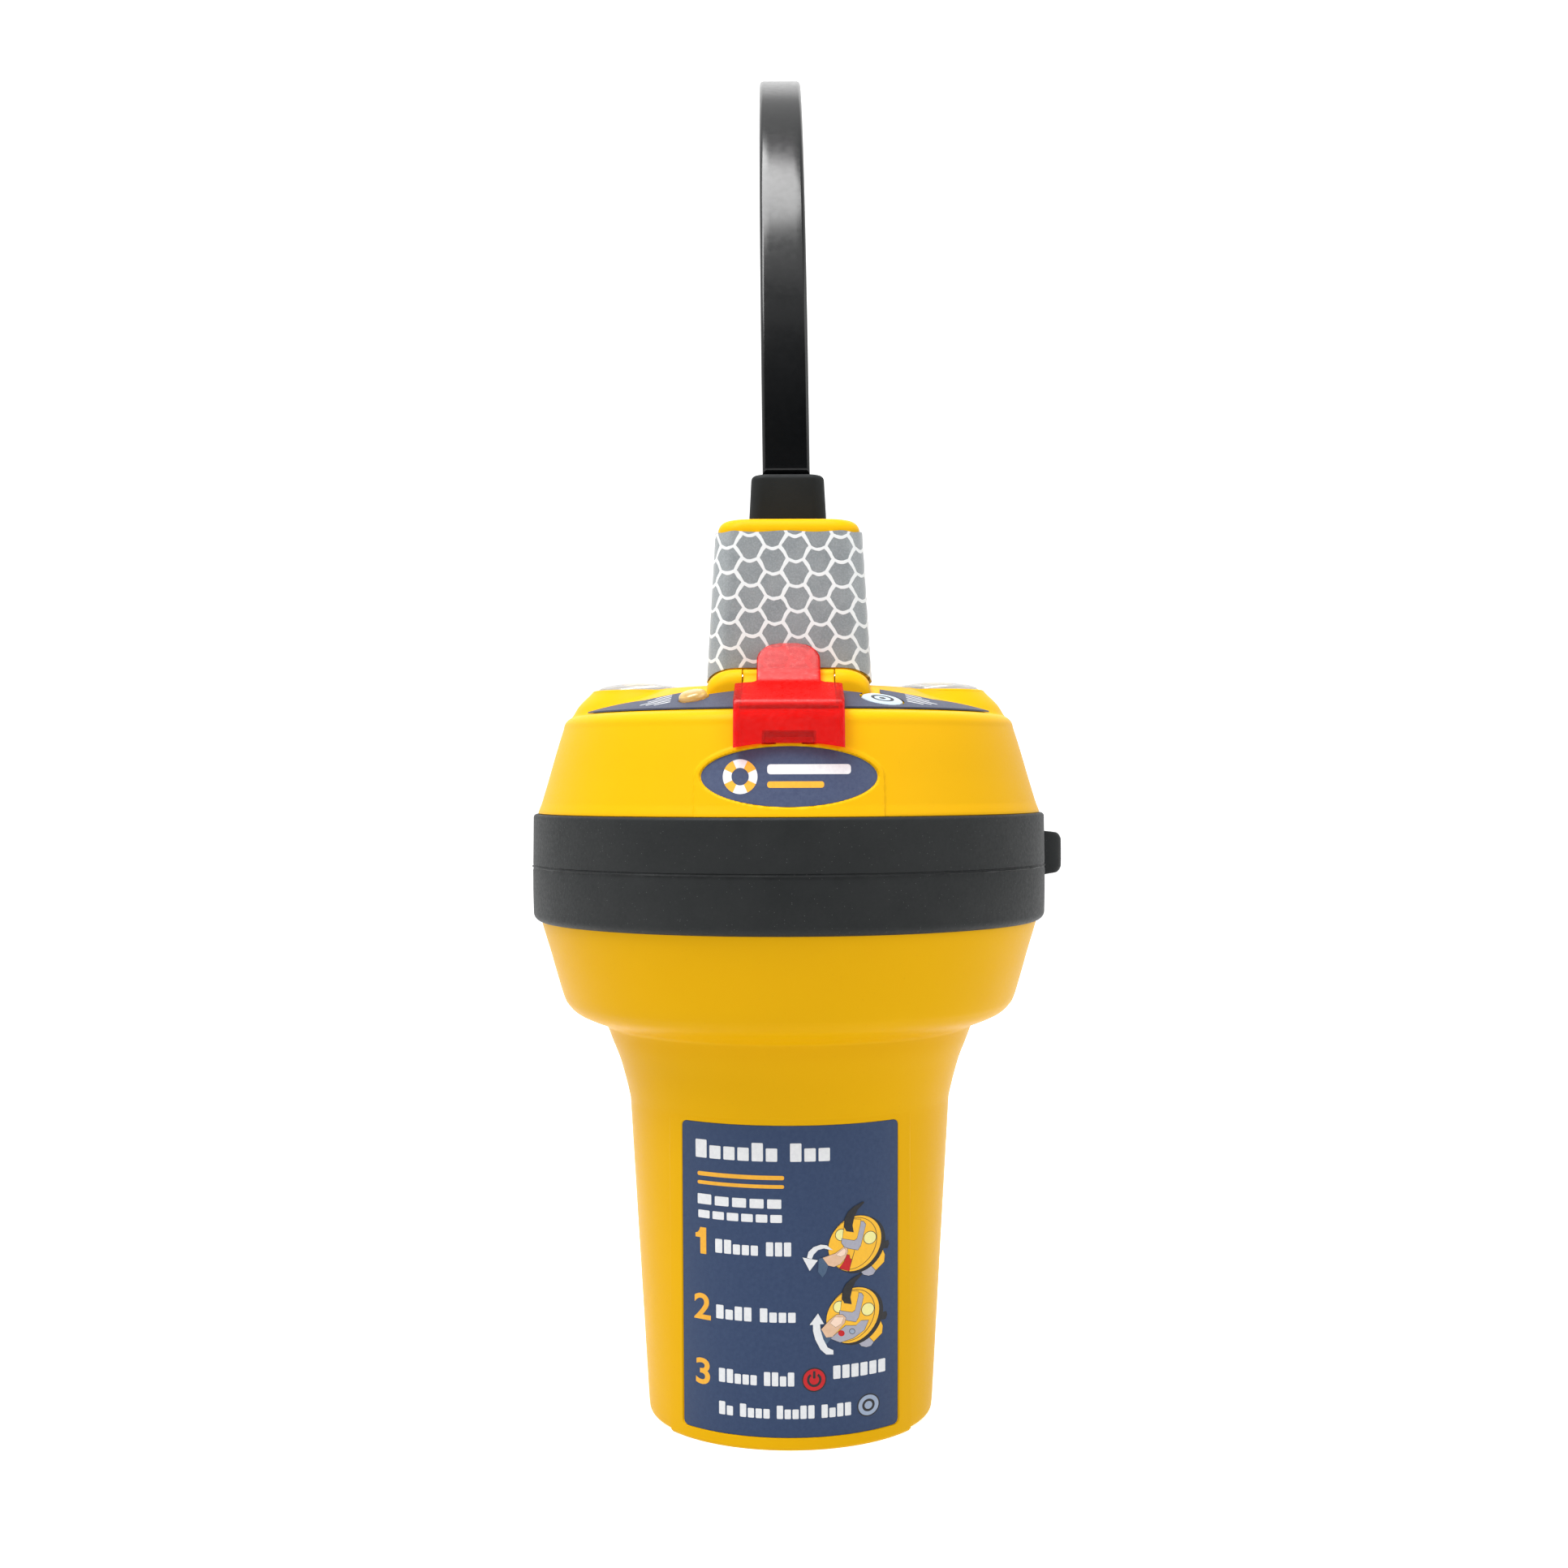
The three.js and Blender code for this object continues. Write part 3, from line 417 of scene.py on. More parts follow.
def clear_plastic(name, colour, rough, grain=900, strength=0.03, weight=1.0):
    s = Shader(name)
    waves = s.noise(grain, 2)
    s.set(Base_Color=s.mix(s.span(waves, 0.3, 0.7, 0, 0.3), colour, tuple(c * 0.94 for c in colour)))
    s.set(Roughness=s.span(waves, 0.3, 0.7, rough, rough * 1.3 + 0.01))
    s.set(Transmission_Weight=weight, IOR=1.5)
    s.bump(waves, strength, 0.03)
    return s.material


def tab_red():
    """Red plastic that lets tinted light through, with a fine orange-peel grain."""
    s = Shader("tab_red")
    peel = s.noise(1300, 3, 0.6)
    cloud = s.span(s.noise(160, 3), 0.3, 0.7, 0, 1)
    s.set(Base_Color=s.mix(cloud, (0.86, 0.014, 0.008), (0.78, 0.010, 0.006)))
    s.set(Roughness=s.span(peel, 0.3, 0.7, 0.22, 0.42), Specular_IOR_Level=0.85)
    s.bump(peel, 0.3, 0.03)
    through, blend = s.add("ShaderNodeBsdfTransparent"), s.add("ShaderNodeMixShader")
    s.feed(through.inputs[0], s.mix(cloud, (0.97, 0.07, 0.03), (0.93, 0.055, 0.025)))
    blend.inputs[0].default_value = 0.75
    output = next(n for n in s.tree.nodes if n.type == "OUTPUT_MATERIAL")
    s.feed(blend.inputs[1], output.inputs[0].links[0].from_socket)
    s.feed(blend.inputs[2], through.outputs[0])
    s.feed(output.inputs[0], blend.outputs[0])
    return s.material


def retro_tape():
    """Grey reflective film: a honeycomb of pale seal lines over cells of fine glass beads."""
    s = Shader("retro_tape")
    pitch = 4.2  # mm between rows of cells
    uv = s.add("ShaderNodeUVMap", uv_map="UVMap").outputs[0]
    wobble = s.add("ShaderNodeTexNoise")
    s.feed(wobble.inputs["Vector"], uv)
    wobble.inputs["Scale"].default_value = 0.6
    split = s.add("ShaderNodeSeparateXYZ")
    s.feed(split.inputs[0], uv)
    shift = s.add("ShaderNodeSeparateColor")
    s.feed(shift.inputs[0], wobble.outputs["Color"])
    u = s.maths("ADD", split.outputs[0], s.maths("MULTIPLY", shift.outputs[0], 0.4))
    v = s.maths("ADD", split.outputs[1], s.maths("MULTIPLY", shift.outputs[1], 0.4))
    u = s.maths("ADD", u, s.maths("MULTIPLY", split.outputs[1], 0.03))
    v = s.maths("ADD", v, s.maths("MULTIPLY", split.outputs[0], 0.02))
    root3 = math.sqrt(3)
    column = pitch * root3 / 2 * 1.045
    u = s.maths("ADD", u, TAPE_PHASE[0])
    sag = s.maths("COSINE", s.maths("MULTIPLY", u, 2 * math.pi / column))
    v = s.maths("ADD", v, s.maths("MULTIPLY", sag, 0.3))
    u = s.maths("DIVIDE", u, pitch * 1.045)
    v = s.maths("DIVIDE", s.maths("ADD", v, TAPE_PHASE[1]), pitch)

    def cell(offset_u, offset_v):
        """Distance from the middle of the nearest cell of one of the two lattices, flat sides up."""
        a = s.maths("SUBTRACT", s.maths("FLOORED_MODULO", s.maths("ADD", u, offset_u), root3), root3 / 2)
        b = s.maths("SUBTRACT", s.maths("FLOORED_MODULO", s.maths("ADD", v, offset_v), 1.0), 0.5)
        a, b = s.maths("ABSOLUTE", a), s.maths("ABSOLUTE", b)
        slanted = s.maths("ADD", s.maths("MULTIPLY", a, root3 / 2), s.maths("MULTIPLY", b, 0.5))
        return s.maths("MAXIMUM", b, slanted)

    nearest = s.maths("MINIMUM", cell(0, 0), cell(root3 / 2, 0.5))
    line = s.span(nearest, 0.425, 0.442, 0, 1, smooth=True)
    beads = s.noise(3600, 2, 0.7)
    cloud = s.span(s.noise(210, 4), 0.3, 0.7, 0, 1)
    grey = s.mix(cloud, (0.185, 0.205, 0.215), (0.235, 0.255, 0.262))
    grey = s.mix(s.span(beads, 0.42, 0.66, 0, 0.35), grey, (0.36, 0.39, 0.40))
    colour = s.mix(line, grey, (0.66, 0.68, 0.68))
    s.set(
        Base_Color=colour, Roughness=s.span(line, 0, 1, 0.34, 0.5), IOR=1.5, Coat_Weight=0.25,
        Coat_Roughness=0.2
    )
    s.bump(s.maths("ADD", line, s.maths("MULTIPLY", beads, 0.15)), 0.4, 0.05)
    return s.material


def circuit_board():
    """Green solder mask with paler tracks and gold pads."""
    s = Shader("circuit_board")
    tracks = s.add("ShaderNodeTexBrick")
    s.feed(tracks.inputs["Vector"], s.place())
    tracks.inputs["Scale"].default_value = 160
    tracks.inputs["Mortar Size"].default_value = 0.03
    base = s.mix(s.span(s.noise(300, 3), 0.3, 0.7, 0, 1), (0.010, 0.075, 0.028), (0.014, 0.10, 0.04))
    colour = s.mix(s.maths("MULTIPLY", tracks.outputs["Fac"], 0.7), base, (0.05, 0.24, 0.09))
    colour = s.mix(s.specks(420, 0.16), colour, (0.65, 0.45, 0.15))
    s.set(Base_Color=colour, Roughness=0.35)
    s.bump(tracks.outputs["Fac"], 0.3, 0.05)
    return s.material


def cell_wrap():
    """Shrink-wrapped cell: dark blue sleeve, a pale band, faint wrinkles."""
    s = Shader("cell_wrap")
    z = s.add("ShaderNodeSeparateXYZ")
    s.feed(z.inputs[0], s.place())
    repeat = s.maths("MODULO", s.maths("MULTIPLY", z.outputs[2], 1000), 34.2)
    band = s.maths("MULTIPLY", s.maths("GREATER_THAN", repeat, 26), s.maths("LESS_THAN", repeat, 30))
    s.set(Base_Color=s.mix(band, (0.012, 0.03, 0.075), (0.55, 0.57, 0.6)))
    s.set(Roughness=s.span(s.noise(600, 3), 0.3, 0.7, 0.25, 0.4))
    s.bump(s.noise(700, 3, stretch=(1, 1, 0.2)), 0.2, 0.08)
    return s.material


YELLOW = case_yellow()
RUBBER = belt_rubber()
BLADE_BLACK = moulded(
    "blade_sleeve", (0.003, 0.0035, 0.004), (0.005, 0.0055, 0.006), (0.17, 0.23), 1400, 0.02, 0.08, 0.32
)
BOOT_BLACK = moulded(
    "boot_rubber", (0.009, 0.0105, 0.011), (0.014, 0.0155, 0.016), (0.5, 0.64), 1800, 0.05, 0.4, 0.1
)
NAVY_LABEL = printed_film("label_ink", (0.018, 0.037, 0.092), (0.024, 0.046, 0.106))
NAVY_BADGE = printed_film("badge_ink", (0.046, 0.060, 0.118), (0.060, 0.078, 0.140))
NAVY_KEYPAD = printed_film("keypad_ink", (0.038, 0.046, 0.080), (0.052, 0.060, 0.098), 0.5)
WHITE_INK = printed_film("white_ink", (0.70, 0.71, 0.72), (0.62, 0.63, 0.65))
AMBER_INK = printed_film("amber_ink", (0.78, 0.39, 0.035), (0.70, 0.34, 0.03))
YELLOW_INK = printed_film("yellow_ink", (0.85, 0.46, 0.03), (0.78, 0.42, 0.03))
PALE_INK = printed_film("pale_ink", (0.80, 0.74, 0.30), (0.74, 0.70, 0.28))
GREY_INK = printed_film("grey_ink", (0.36, 0.36, 0.42), (0.32, 0.32, 0.38))
BLACK_INK = printed_film("black_ink", (0.012, 0.012, 0.014), (0.02, 0.02, 0.022))
RED_INK = printed_film("red_ink", (0.50, 0.012, 0.016), (0.43, 0.01, 0.014))
SKIN_INK = printed_film("skin_ink", (0.62, 0.40, 0.26), (0.68, 0.45, 0.30))
NAIL_INK = printed_film("nail_ink", (0.78, 0.58, 0.45), (0.82, 0.62, 0.49))
SLEEVE_INK = printed_film("sleeve_ink", (0.045, 0.085, 0.15), (0.06, 0.10, 0.17))
BLUE_INK = printed_film("blue_ink", (0.30, 0.36, 0.47), (0.26, 0.32, 0.43))
TAPE = retro_tape()
TAB_RED = tab_red()
CLEAR = clear_plastic("lens_clear", (0.95, 0.93, 0.90), 0.10, weight=0.8)
AMBER_CLEAR = clear_plastic("lens_amber", (0.93, 0.66, 0.22), 0.12, weight=0.6)
KEY_RED = moulded("key_red", (0.50, 0.012, 0.016), (0.43, 0.010, 0.013), (0.4, 0.5))
KEY_BLUE = moulded("key_blue", (0.42, 0.50, 0.57), (0.38, 0.46, 0.53), (0.35, 0.45))
STEEL = metal("bright_steel", (0.62, 0.63, 0.65))
CHROME = metal("lamp_chrome", (0.88, 0.89, 0.90), (0.22, 0.32))
BRASS = metal("socket_brass", (0.66, 0.46, 0.18))
CERAMIC = moulded("ceramic", (0.72, 0.68, 0.56), (0.66, 0.62, 0.50), (0.4, 0.6), 1500)
LED_YELLOW = moulded("led_phosphor", (0.90, 0.72, 0.10), (0.82, 0.66, 0.12), (0.25, 0.4), 1500)
BOARD_GREEN = circuit_board()
CELL = cell_wrap()


# ---------------------------------------------------------------- outlines of the case
def deck_z(r):
    return DECK_Z + DECK_SLOPE * (DECK_R - np.maximum(r, DECK_FLAT))


def neck_r(z):
    """Radius of the neck's outside at height z, up to where it flares."""
    return BASE_R + (NECK_TOP_R - BASE_R) * np.asarray(z, float) / NECK_TOP_Z


def cone_r(z):
    """Radius of the upper cone at height z."""
    known = [
        (101, 42.9), (103.2, 42.9), (103.7, 43.56), (104, 43.5), (105.4, 42.95), (109.6, 41.7),
        (113.8, 40.5), (115.9, 39.87), (118, 39.2)
    ]
    return np.interp(z, [k[0] for k in known], [k[1] for k in known])


LOWER_PROFILE = np.vstack(
    [
        [(0, 0.02), (12, 0.02), (BASE_R - 0.95, 0.02)],
        [(BASE_R - 0.9 + 0.9 * math.sin(a), 0.9 - 0.9 * math.cos(a)) for a in np.linspace(0.1, 1.5, 9)],
    ]
)
SHOULDER = curve_through(
    [
        (27.8, 54.3),
        (28.1, 55.7),
        (28.8, 58.5),
        (29.65, 61.4),
        (30.8, 64.3),
        (31.5, 66.2),
        (31.85, 66.95),
        (32.3, 67.32),
        (33.2, 67.72),
        (34.5, 68.2),
        (35.8, 68.75),
        (37.2, 69.5),
        (38.35, 70.6),
        (39.2, 72.1),
        (40.55, 76.6),
        (41.5, 80),
        (42.85, 84.5),
        (43.1, 86),
        (42.4, 87.5),
    ],
    0.35,
    corners=(6,),
)


# ---------------------------------------------------------------- lower case
def lower_case():
    """The neck with its thicker front and the label's seat, the flare, the shoulder and the lower cone."""
    edge = [-0.12, -0.06, 0, 0.06, 0.12]
    corner = np.arange(0, 1.0, 0.09)
    front_x = merged(
        np.arange(-22, 22.01, 0.6),
        *[[s * (e + d) for d in edge] for s in (-1, 1) for e in (LABEL_HALF, PAD_HALF)],
        *[[s * (LABEL_HALF - c) for c in corner] for s in (-1, 1)],
    )
    heights = merged(
        np.arange(1.0, NECK_TOP_Z, 1.3),
        [LABEL_LOW + d for d in edge],
        [LABEL_HIGH + d for d in edge],
        LABEL_LOW + corner,
        LABEL_HIGH - corner,
    )
    profile = np.vstack(
        [LOWER_PROFILE, [(neck_r(z), z) for z in heights if 1.0 < z < NECK_TOP_Z - 0.3], SHOULDER]
    )
    rows = []
    for r, z in profile:
        rim = float(neck_r(z)) if z < NECK_TOP_Z else NECK_TOP_R
        start = math.asin(22 / rim)
        around = np.linspace(start, 2 * math.pi - start, 130)[1:-1]
        phi = np.concatenate([np.arcsin(front_x / rim), around])
        x = rim * np.sin(phi)
        facing = np.cos(phi) > 0
        radius = np.full(len(phi), r)
        if r > 14 and z < NECK_TOP_Z:
            pad = smoothstep(np.abs(x), PAD_HALF + 0.06, PAD_HALF - 0.06) * facing
            proud = PAD_PROUD * (1 - z / NECK_TOP_Z) + 0.04
            edge_r = neck_r(z) + proud - 0.3 * (1 - smoothstep(z, 0, 0.45))
            radius = radius + pad * (edge_r - r)
            inside = box_distance(x, z, LABEL_HALF, LABEL_LOW, LABEL_HIGH, LABEL_CORNER)
            radius -= 0.32 * smoothstep(inside, 0.05, -0.07) * facing * (z > 1)
        rows.append(np.column_stack([radius * np.sin(phi), -radius * np.cos(phi), np.full(len(phi), z)]))
    columns = len(rows[0])
    verts = np.vstack(rows)
    faces = grid_faces(len(rows), columns, wrap=True)
    eye = lanyard_loop()
    verts, faces = joined((verts, faces), eye)
    mesh_piece("lower_shell", verts, faces, YELLOW, "case", ["lower_case"], sharp=50)


def lanyard_loop():
    """The moulded loop on the rear of the neck, as a rounded bar bent round its window."""
    path = curve_through([(-5.8, 25.3), (-5.8, 30), (-5.6, 32.6), (-4.2, 33.9), (-2, 34.1), (2, 34.1),
                          (4.2, 33.9), (5.6, 32.6), (5.8, 30), (5.8, 25.3)], 0.4)
    section = rounded_outline(1.1, 2.45, 0.8, 4, 2)
    rows = []
    for i, (x, y) in enumerate(path):
        ahead = path[min(i + 1, len(path) - 1)] - path[max(i - 1, 0)]
        side = np.array([ahead[1], -ahead[0]]) / np.linalg.norm(ahead)
        rows.append([(x + side[0] * a, y + side[1] * a, 38.5 + b) for a, b in section])
    return np.vstack(rows), grid_faces(len(rows), len(section), wrap=True)


# ---------------------------------------------------------------- upper case
MOUND = np.array(
    [
        (0, 124.86),
        (7.9, 124.86),
        (8.3, 124.6),
        (8.8, 124.05),
        (9.45, 123.45),
        (10.06, 122.85),
        (10.6, 122.25),
        (11.0, 121.7),
        (11.6, 120.6),
        (12.2, 119.45),
        (12.8, 118.0),
        (13.4, 116.0),
        (15, 108),
        (90, 60),
    ]
)


def crown_profile():
    """From the top of the cone over the rounded edge and up the deck."""
    arc = curve_through([(39.2, 118), (38.93, 119), (38.4, 119.7), (37.5, 120.2), (36, 120.45)], 0.3)
    deck = [(r, deck_z(r)) for r in np.arange(35.6, 11.9, -0.4)]
    return np.vstack([arc, deck])


def with_mounds(x, y, z):
    """Raises a deck point where a strobe's mound stands over it."""
    for side in (-1, 1):
        d = np.hypot(x - side * LENS_X, y)
        z = smooth_max(np.interp(d, MOUND[:, 0], MOUND[:, 1]), z, 0.7)
    return z


def upper_skin():
    """The cone with its badge seat and tab slot, and the deck with its two mounds."""
    reach = math.radians(23)
    phi = np.concatenate(
        [np.linspace(-reach, reach, 170), np.linspace(reach, 2 * math.pi - reach, 330)[1:-1]]
    )
    rows = []
    for z in merged([101, 103.2], np.arange(103.7, 117.95, 0.2)):
        r = np.full(len(phi), float(cone_r(z)))
        x = r * np.sin(phi)
        facing = np.cos(phi) > 0
        pad = np.minimum(
            box_distance(x, z, BADGE_PAD, 90, BADGE_Z, 0.01),
            oval_distance(x, z, BADGE_PAD, BADGE_TALL + 0.8, BADGE_Z),
        )
        seat = oval_distance(x, z, BADGE_HALF, BADGE_TALL, BADGE_Z)
        slot = box_distance(x, z, SLOT_HALF, SLOT_LOW - 0.6, SLOT_HIGH, 0.5)
        r += facing * 0.22 * smoothstep(pad, 0.08, -0.08) * (z > 103.6)
        r -= facing * 0.42 * smoothstep(seat, 0.08, -0.08)
        r -= facing * 2.4 * smoothstep(slot, 0.1, -0.1) * (seat > 0.4)
        rows.append(np.column_stack([r * np.sin(phi), -r * np.cos(phi), np.full(len(phi), z)]))
    for r, z in crown_profile():
        x, y = r * np.sin(phi), -r * np.cos(phi)
        rows.append(np.column_stack([x, y, with_mounds(x, y, np.full(len(phi), float(z)))]))
    verts = np.vstack(rows)
    for side in (-1, 1):
        away = verts[:, :2] - (side * LENS_X, 0)
        d = np.maximum(np.hypot(*away.T), 1e-6)
        near = (np.abs(d - LENS_HOLE) < 0.26) & (verts[:, 2] > 119)
        verts[near, :2] = (side * LENS_X, 0) + away[near] * (LENS_HOLE / d[near])[:, None]
    faces = [f for f in grid_faces(len(rows), len(phi), wrap=True) if not in_opening(verts[list(f)].mean(0))]
    return verts, faces


def in_opening(point):
    """Whether a point on the deck lies in a hole: a lens, a key, the indicator, or the flap's hollow."""
    x, y, z = point
    if z < 119:
        return False
    if math.hypot(abs(x) - LENS_X, y) < LENS_HOLE:
        return True
    if abs(x) < HINGE_HALF + 0.5 and FLAP_FRONT - 0.45 < y < LOBE_FRONT + 0.5:
        return True
    return math.dist((x, y), TEST_AT) < KEY_R + 0.45 or math.dist((x, y), INDICATOR_AT) < INDICATOR_R + 0.35


def mast_rows(grow, heights, top_round=0.0):
    """Outlines of the mast at each height, grown outwards. The last few may round over towards the top."""
    rows = []
    for z in heights:
        inset = MAST_TAPER * (z - MAST_FOOT)
        if top_round:
            above = max(0.0, z - (MAST_TOP - top_round))
            inset += top_round - math.sqrt(max(0.0, top_round**2 - above**2))
        outline = rounded_outline(MAST_HALF_X + grow - inset, MAST_HALF_Y + grow - inset, MAST_CORNER)
        rows.append(
            np.column_stack([outline[:, 0] + MAST_X, outline[:, 1] + MAST_Y, np.full(len(outline), z)])
        )
    return rows


def mast_skin():
    bend = 2.0
    arc = [MAST_TOP - bend + bend * math.sin(a) for a in np.linspace(0, math.pi / 2, 9)]
    rows = mast_rows(0, [122, 130, 138, 146, *arc], bend)
    top = rows[-1]
    middle = top.mean(0)
    rows.append(middle + (top - middle) * (0.7, 0.6, 1))
    rows.append((top - middle) * (0.4, 0.22, 1) + (0, 0, middle[2]))  # the hole under the boot
    return np.vstack(rows), grid_faces(len(rows), len(top), wrap=True)


def lobe(side):
    """One rounded lobe beside the flap's knuckle, sitting on the deck against the mast."""
    outline = [(-17, LOBE_TOP - 0.05)]
    outline += [(-21.9, LOBE_TOP)]
    for a in np.linspace(math.pi / 2, math.pi, 9):
        outline.append((LOBE_FRONT + 2.5 + 2.5 * math.cos(a), LOBE_TOP - 2.5 + 2.5 * math.sin(a)))
    outline += [(LOBE_FRONT, 122.5), (-17, 122.5)]
    near, start, far = HINGE_HALF + 0.12, 8.6, LOBE_HALF + 0.25
    steps = [(near, 0.1), (near + 0.1, 0), (start, 0)]
    steps += [
        (start + (far - start) * math.sin(a), 3.0 * (1 - math.cos(a)))
        for a in np.linspace(0.2, math.pi / 2, 9)
    ]
    rows = []
    for x, drop in steps:
        rows.append([(side * x, y + 0.45 * drop * (y < -18), z - drop * (z > 124)) for y, z in outline])
    faces = grid_faces(len(rows), len(outline), wrap=True)
    n = len(outline)
    faces += [tuple(range(n)), tuple(range((len(rows) - 1) * n, len(rows) * n))]
    return np.vstack(rows), faces


def lens_collar(side):
    """The wall of a strobe's hole, with a small rounded lip."""
    profile = [
        (8.35, 124.55), (8.15, 124.78), (7.9, 124.88), (7.66, 124.88), (7.56, 124.78), (7.54, 124.2),
        (7.54, 116.5), (3, 116.2)
    ]
    return turned(profile, 96, (side * LENS_X, 0))


def flap_hollow():
    """The tray under the flap, and the channel under its knuckle."""
    half = HINGE_HALF + 0.3
    line = [(FLAP_FRONT - 0.3, 0.3), (FLAP_FRONT - 0.3, -0.75), (-31, -0.8), (-28, -0.8), (-25, -0.8)]
    points = [(y, deck_z(-y) + lift) for y, lift in line]
    points += [(-22.9, 124.1), (-19.9, 124.1), (-19.9, 127.4)]
    verts = [(s * half, y, z) for s in (-1, 1) for y, z in points]
    n = len(points)
    faces = [(i, i + 1, n + i + 1, n + i) for i in range(n - 1)]
    for s in (0, 1):
        start = len(verts)
        verts += [(verts[s * n + i][0], points[i][0], points[i][1]) for i in range(n)]
        verts += [
            (verts[s * n + i][0], points[i][0], max(points[i][1], deck_z(-points[i][0]) + 0.3))
            for i in range(n)
        ]
        faces += [(start + i, start + i + 1, start + n + i + 1, start + n + i) for i in range(n - 1)]
    return np.array(verts), faces


def socket_wall(at, r, depth):
    """The wall and floor of a round hole in the deck."""
    verts, faces = turned([(r, 0.12), (r, -depth), (r - 1.3, -depth)], 48)
    return on_deck(verts, at), faces


def upper_case():
    parts = [upper_skin(), mast_skin(), lobe(-1), lobe(1), lens_collar(-1), lens_collar(1), flap_hollow()]
    parts += [socket_wall(TEST_AT, KEY_R + 0.3, 1.75), socket_wall(INDICATOR_AT, INDICATOR_R + 0.2, 1.2)]
    verts, faces = joined(*parts)
    mesh_piece("upper_shell", verts, faces, YELLOW, "case", ["upper_case"], sharp=38)


# ---------------------------------------------------------------- belt, boot and antenna
def slot_painted_shade():
    """A black block behind the slot that takes the tab's latch: painted shade, standing for the shadow deep
    in the slot.
    """
    low, high = SLOT_LOW - 0.5, SLOT_HIGH - 0.15
    edge = [
        (-float(cone_r(z)) + depth, z) for depth, z in ((2.1, low), (2.1, high), (2.35, high), (2.35, low))
    ]
    verts, faces = prism(edge, SLOT_HALF - 0.15)
    mesh_piece("slot_painted_shade", verts, faces, BOOT_BLACK, "case", sharp=30)


def belt():
    """The rubber belt with its ragged parting line, the groove for the antenna's tip, and the hook."""
    arc = lambda cr, cz, r, a0, a1, n=7: [
        (cr + r * math.cos(math.radians(a)),
            cz + r * math.sin(math.radians(a))) for a in np.linspace(a0, a1, n)
    ]
    profile = [(42.6, RING_LOW), *arc(42.95, RING_LOW + 1.45, 1.45, -90, 0)]
    profile += [(44.48, 90), (44.5, RING_SEAM - 0.62), (44.42, RING_SEAM - 0.4), (44.44, RING_SEAM - 0.16)]
    profile += [
        (44.66, RING_SEAM), (44.40, RING_SEAM + 0.12), (44.36, RING_SEAM + 0.26), (44.47, RING_SEAM + 0.38)
    ]
    profile += [(44.42, 99)]
    profile += arc(43.78, RING_HIGH - 0.62, 0.6, 0, 90)
    profile += [(43.0, RING_HIGH - 0.02), (42.6, RING_HIGH - 0.5), (42.6, RING_LOW)]
    segments = 360
    verts, faces = turned(profile, segments)
    seam = np.abs(verts[:, 2] - RING_SEAM) < 0.01
    azimuth = np.arctan2(verts[:, 0], -verts[:, 1])
    ragged = np.interp(azimuth, np.linspace(-math.pi, math.pi, 301), rng.normal(0, 1, 301))
    reach = np.hypot(verts[:, 0], verts[:, 1])
    target = np.where(seam, np.clip(44.63 + 0.06 * ragged, 44.48, 44.74), reach)
    across = (azimuth - math.radians(HOOK_AZIMUTH)) * reach
    target = target - (reach > 43.1) * 1.0 * smoothstep(np.abs(across), 5.0, 4.6)
    verts[:, :2] *= (target / reach)[:, None]
    verts[seam, 2] += 0.05 * np.roll(ragged[seam], 3).clip(-1.5, 1.5)
    verts, faces = joined((verts, faces), tip_hook())
    mesh_piece("rubber_belt", verts, faces, RUBBER, "case", ["bumper_ring"], sharp=32)


def tip_hook():
    """An open rubber bracket whose window takes the tip of the folded antenna."""
    half, window, top = 6.7, 4.7, 48.05
    section = curve_through(
        [(43.4, 92.35), (46.4, 92.7), (47.4, 92.95), (47.95, 93.7), (top, 94.6), (top, 98.1), (47.95, 99.0),
         (47.4, 99.75), (46.4, 100.0), (43.4, 100.3)],
        0.3,
    )
    path = [
        (43.4, -half), (45.8, -half + 0.05), (47.2, -half + 0.35), (47.9, -half + 1.3), (top, -half + 2.4)
    ]
    path = curve_through([*path, (top, 0), *[(r, -t) for r, t in path[::-1]]], 0.4)
    rows = []
    for reach, across in path:
        share = (reach - 43.4) / (top - 43.4)
        rows.append([(across, -(43.4 + (r - 43.4) * share), z) for r, z in section])
    inner = [(across * window / half, -min(46.35, 43.4 + (reach - 43.4) * 0.64), 0) for reach, across in path]
    columns = len(section)
    faces = grid_faces(len(rows), columns)
    verts = [v for row in rows for v in row]
    start = len(verts)
    for x, y, _ in inner:
        verts += [(x, y, 92.75), (x, y, 99.95)]
    for i in range(len(path) - 1):
        a, b = start + 2 * i, start + 2 * i + 2
        faces.append((a, b, b + 1, a + 1))
        faces.append((i * columns, (i + 1) * columns, b, a))
        faces.append((i * columns + columns - 1, (i + 1) * columns + columns - 1, b + 1, a + 1))
    turn = Matrix.Rotation(math.radians(HOOK_AZIMUTH), 4, "Z")
    return np.array([turn @ Vector(v) for v in verts]), faces


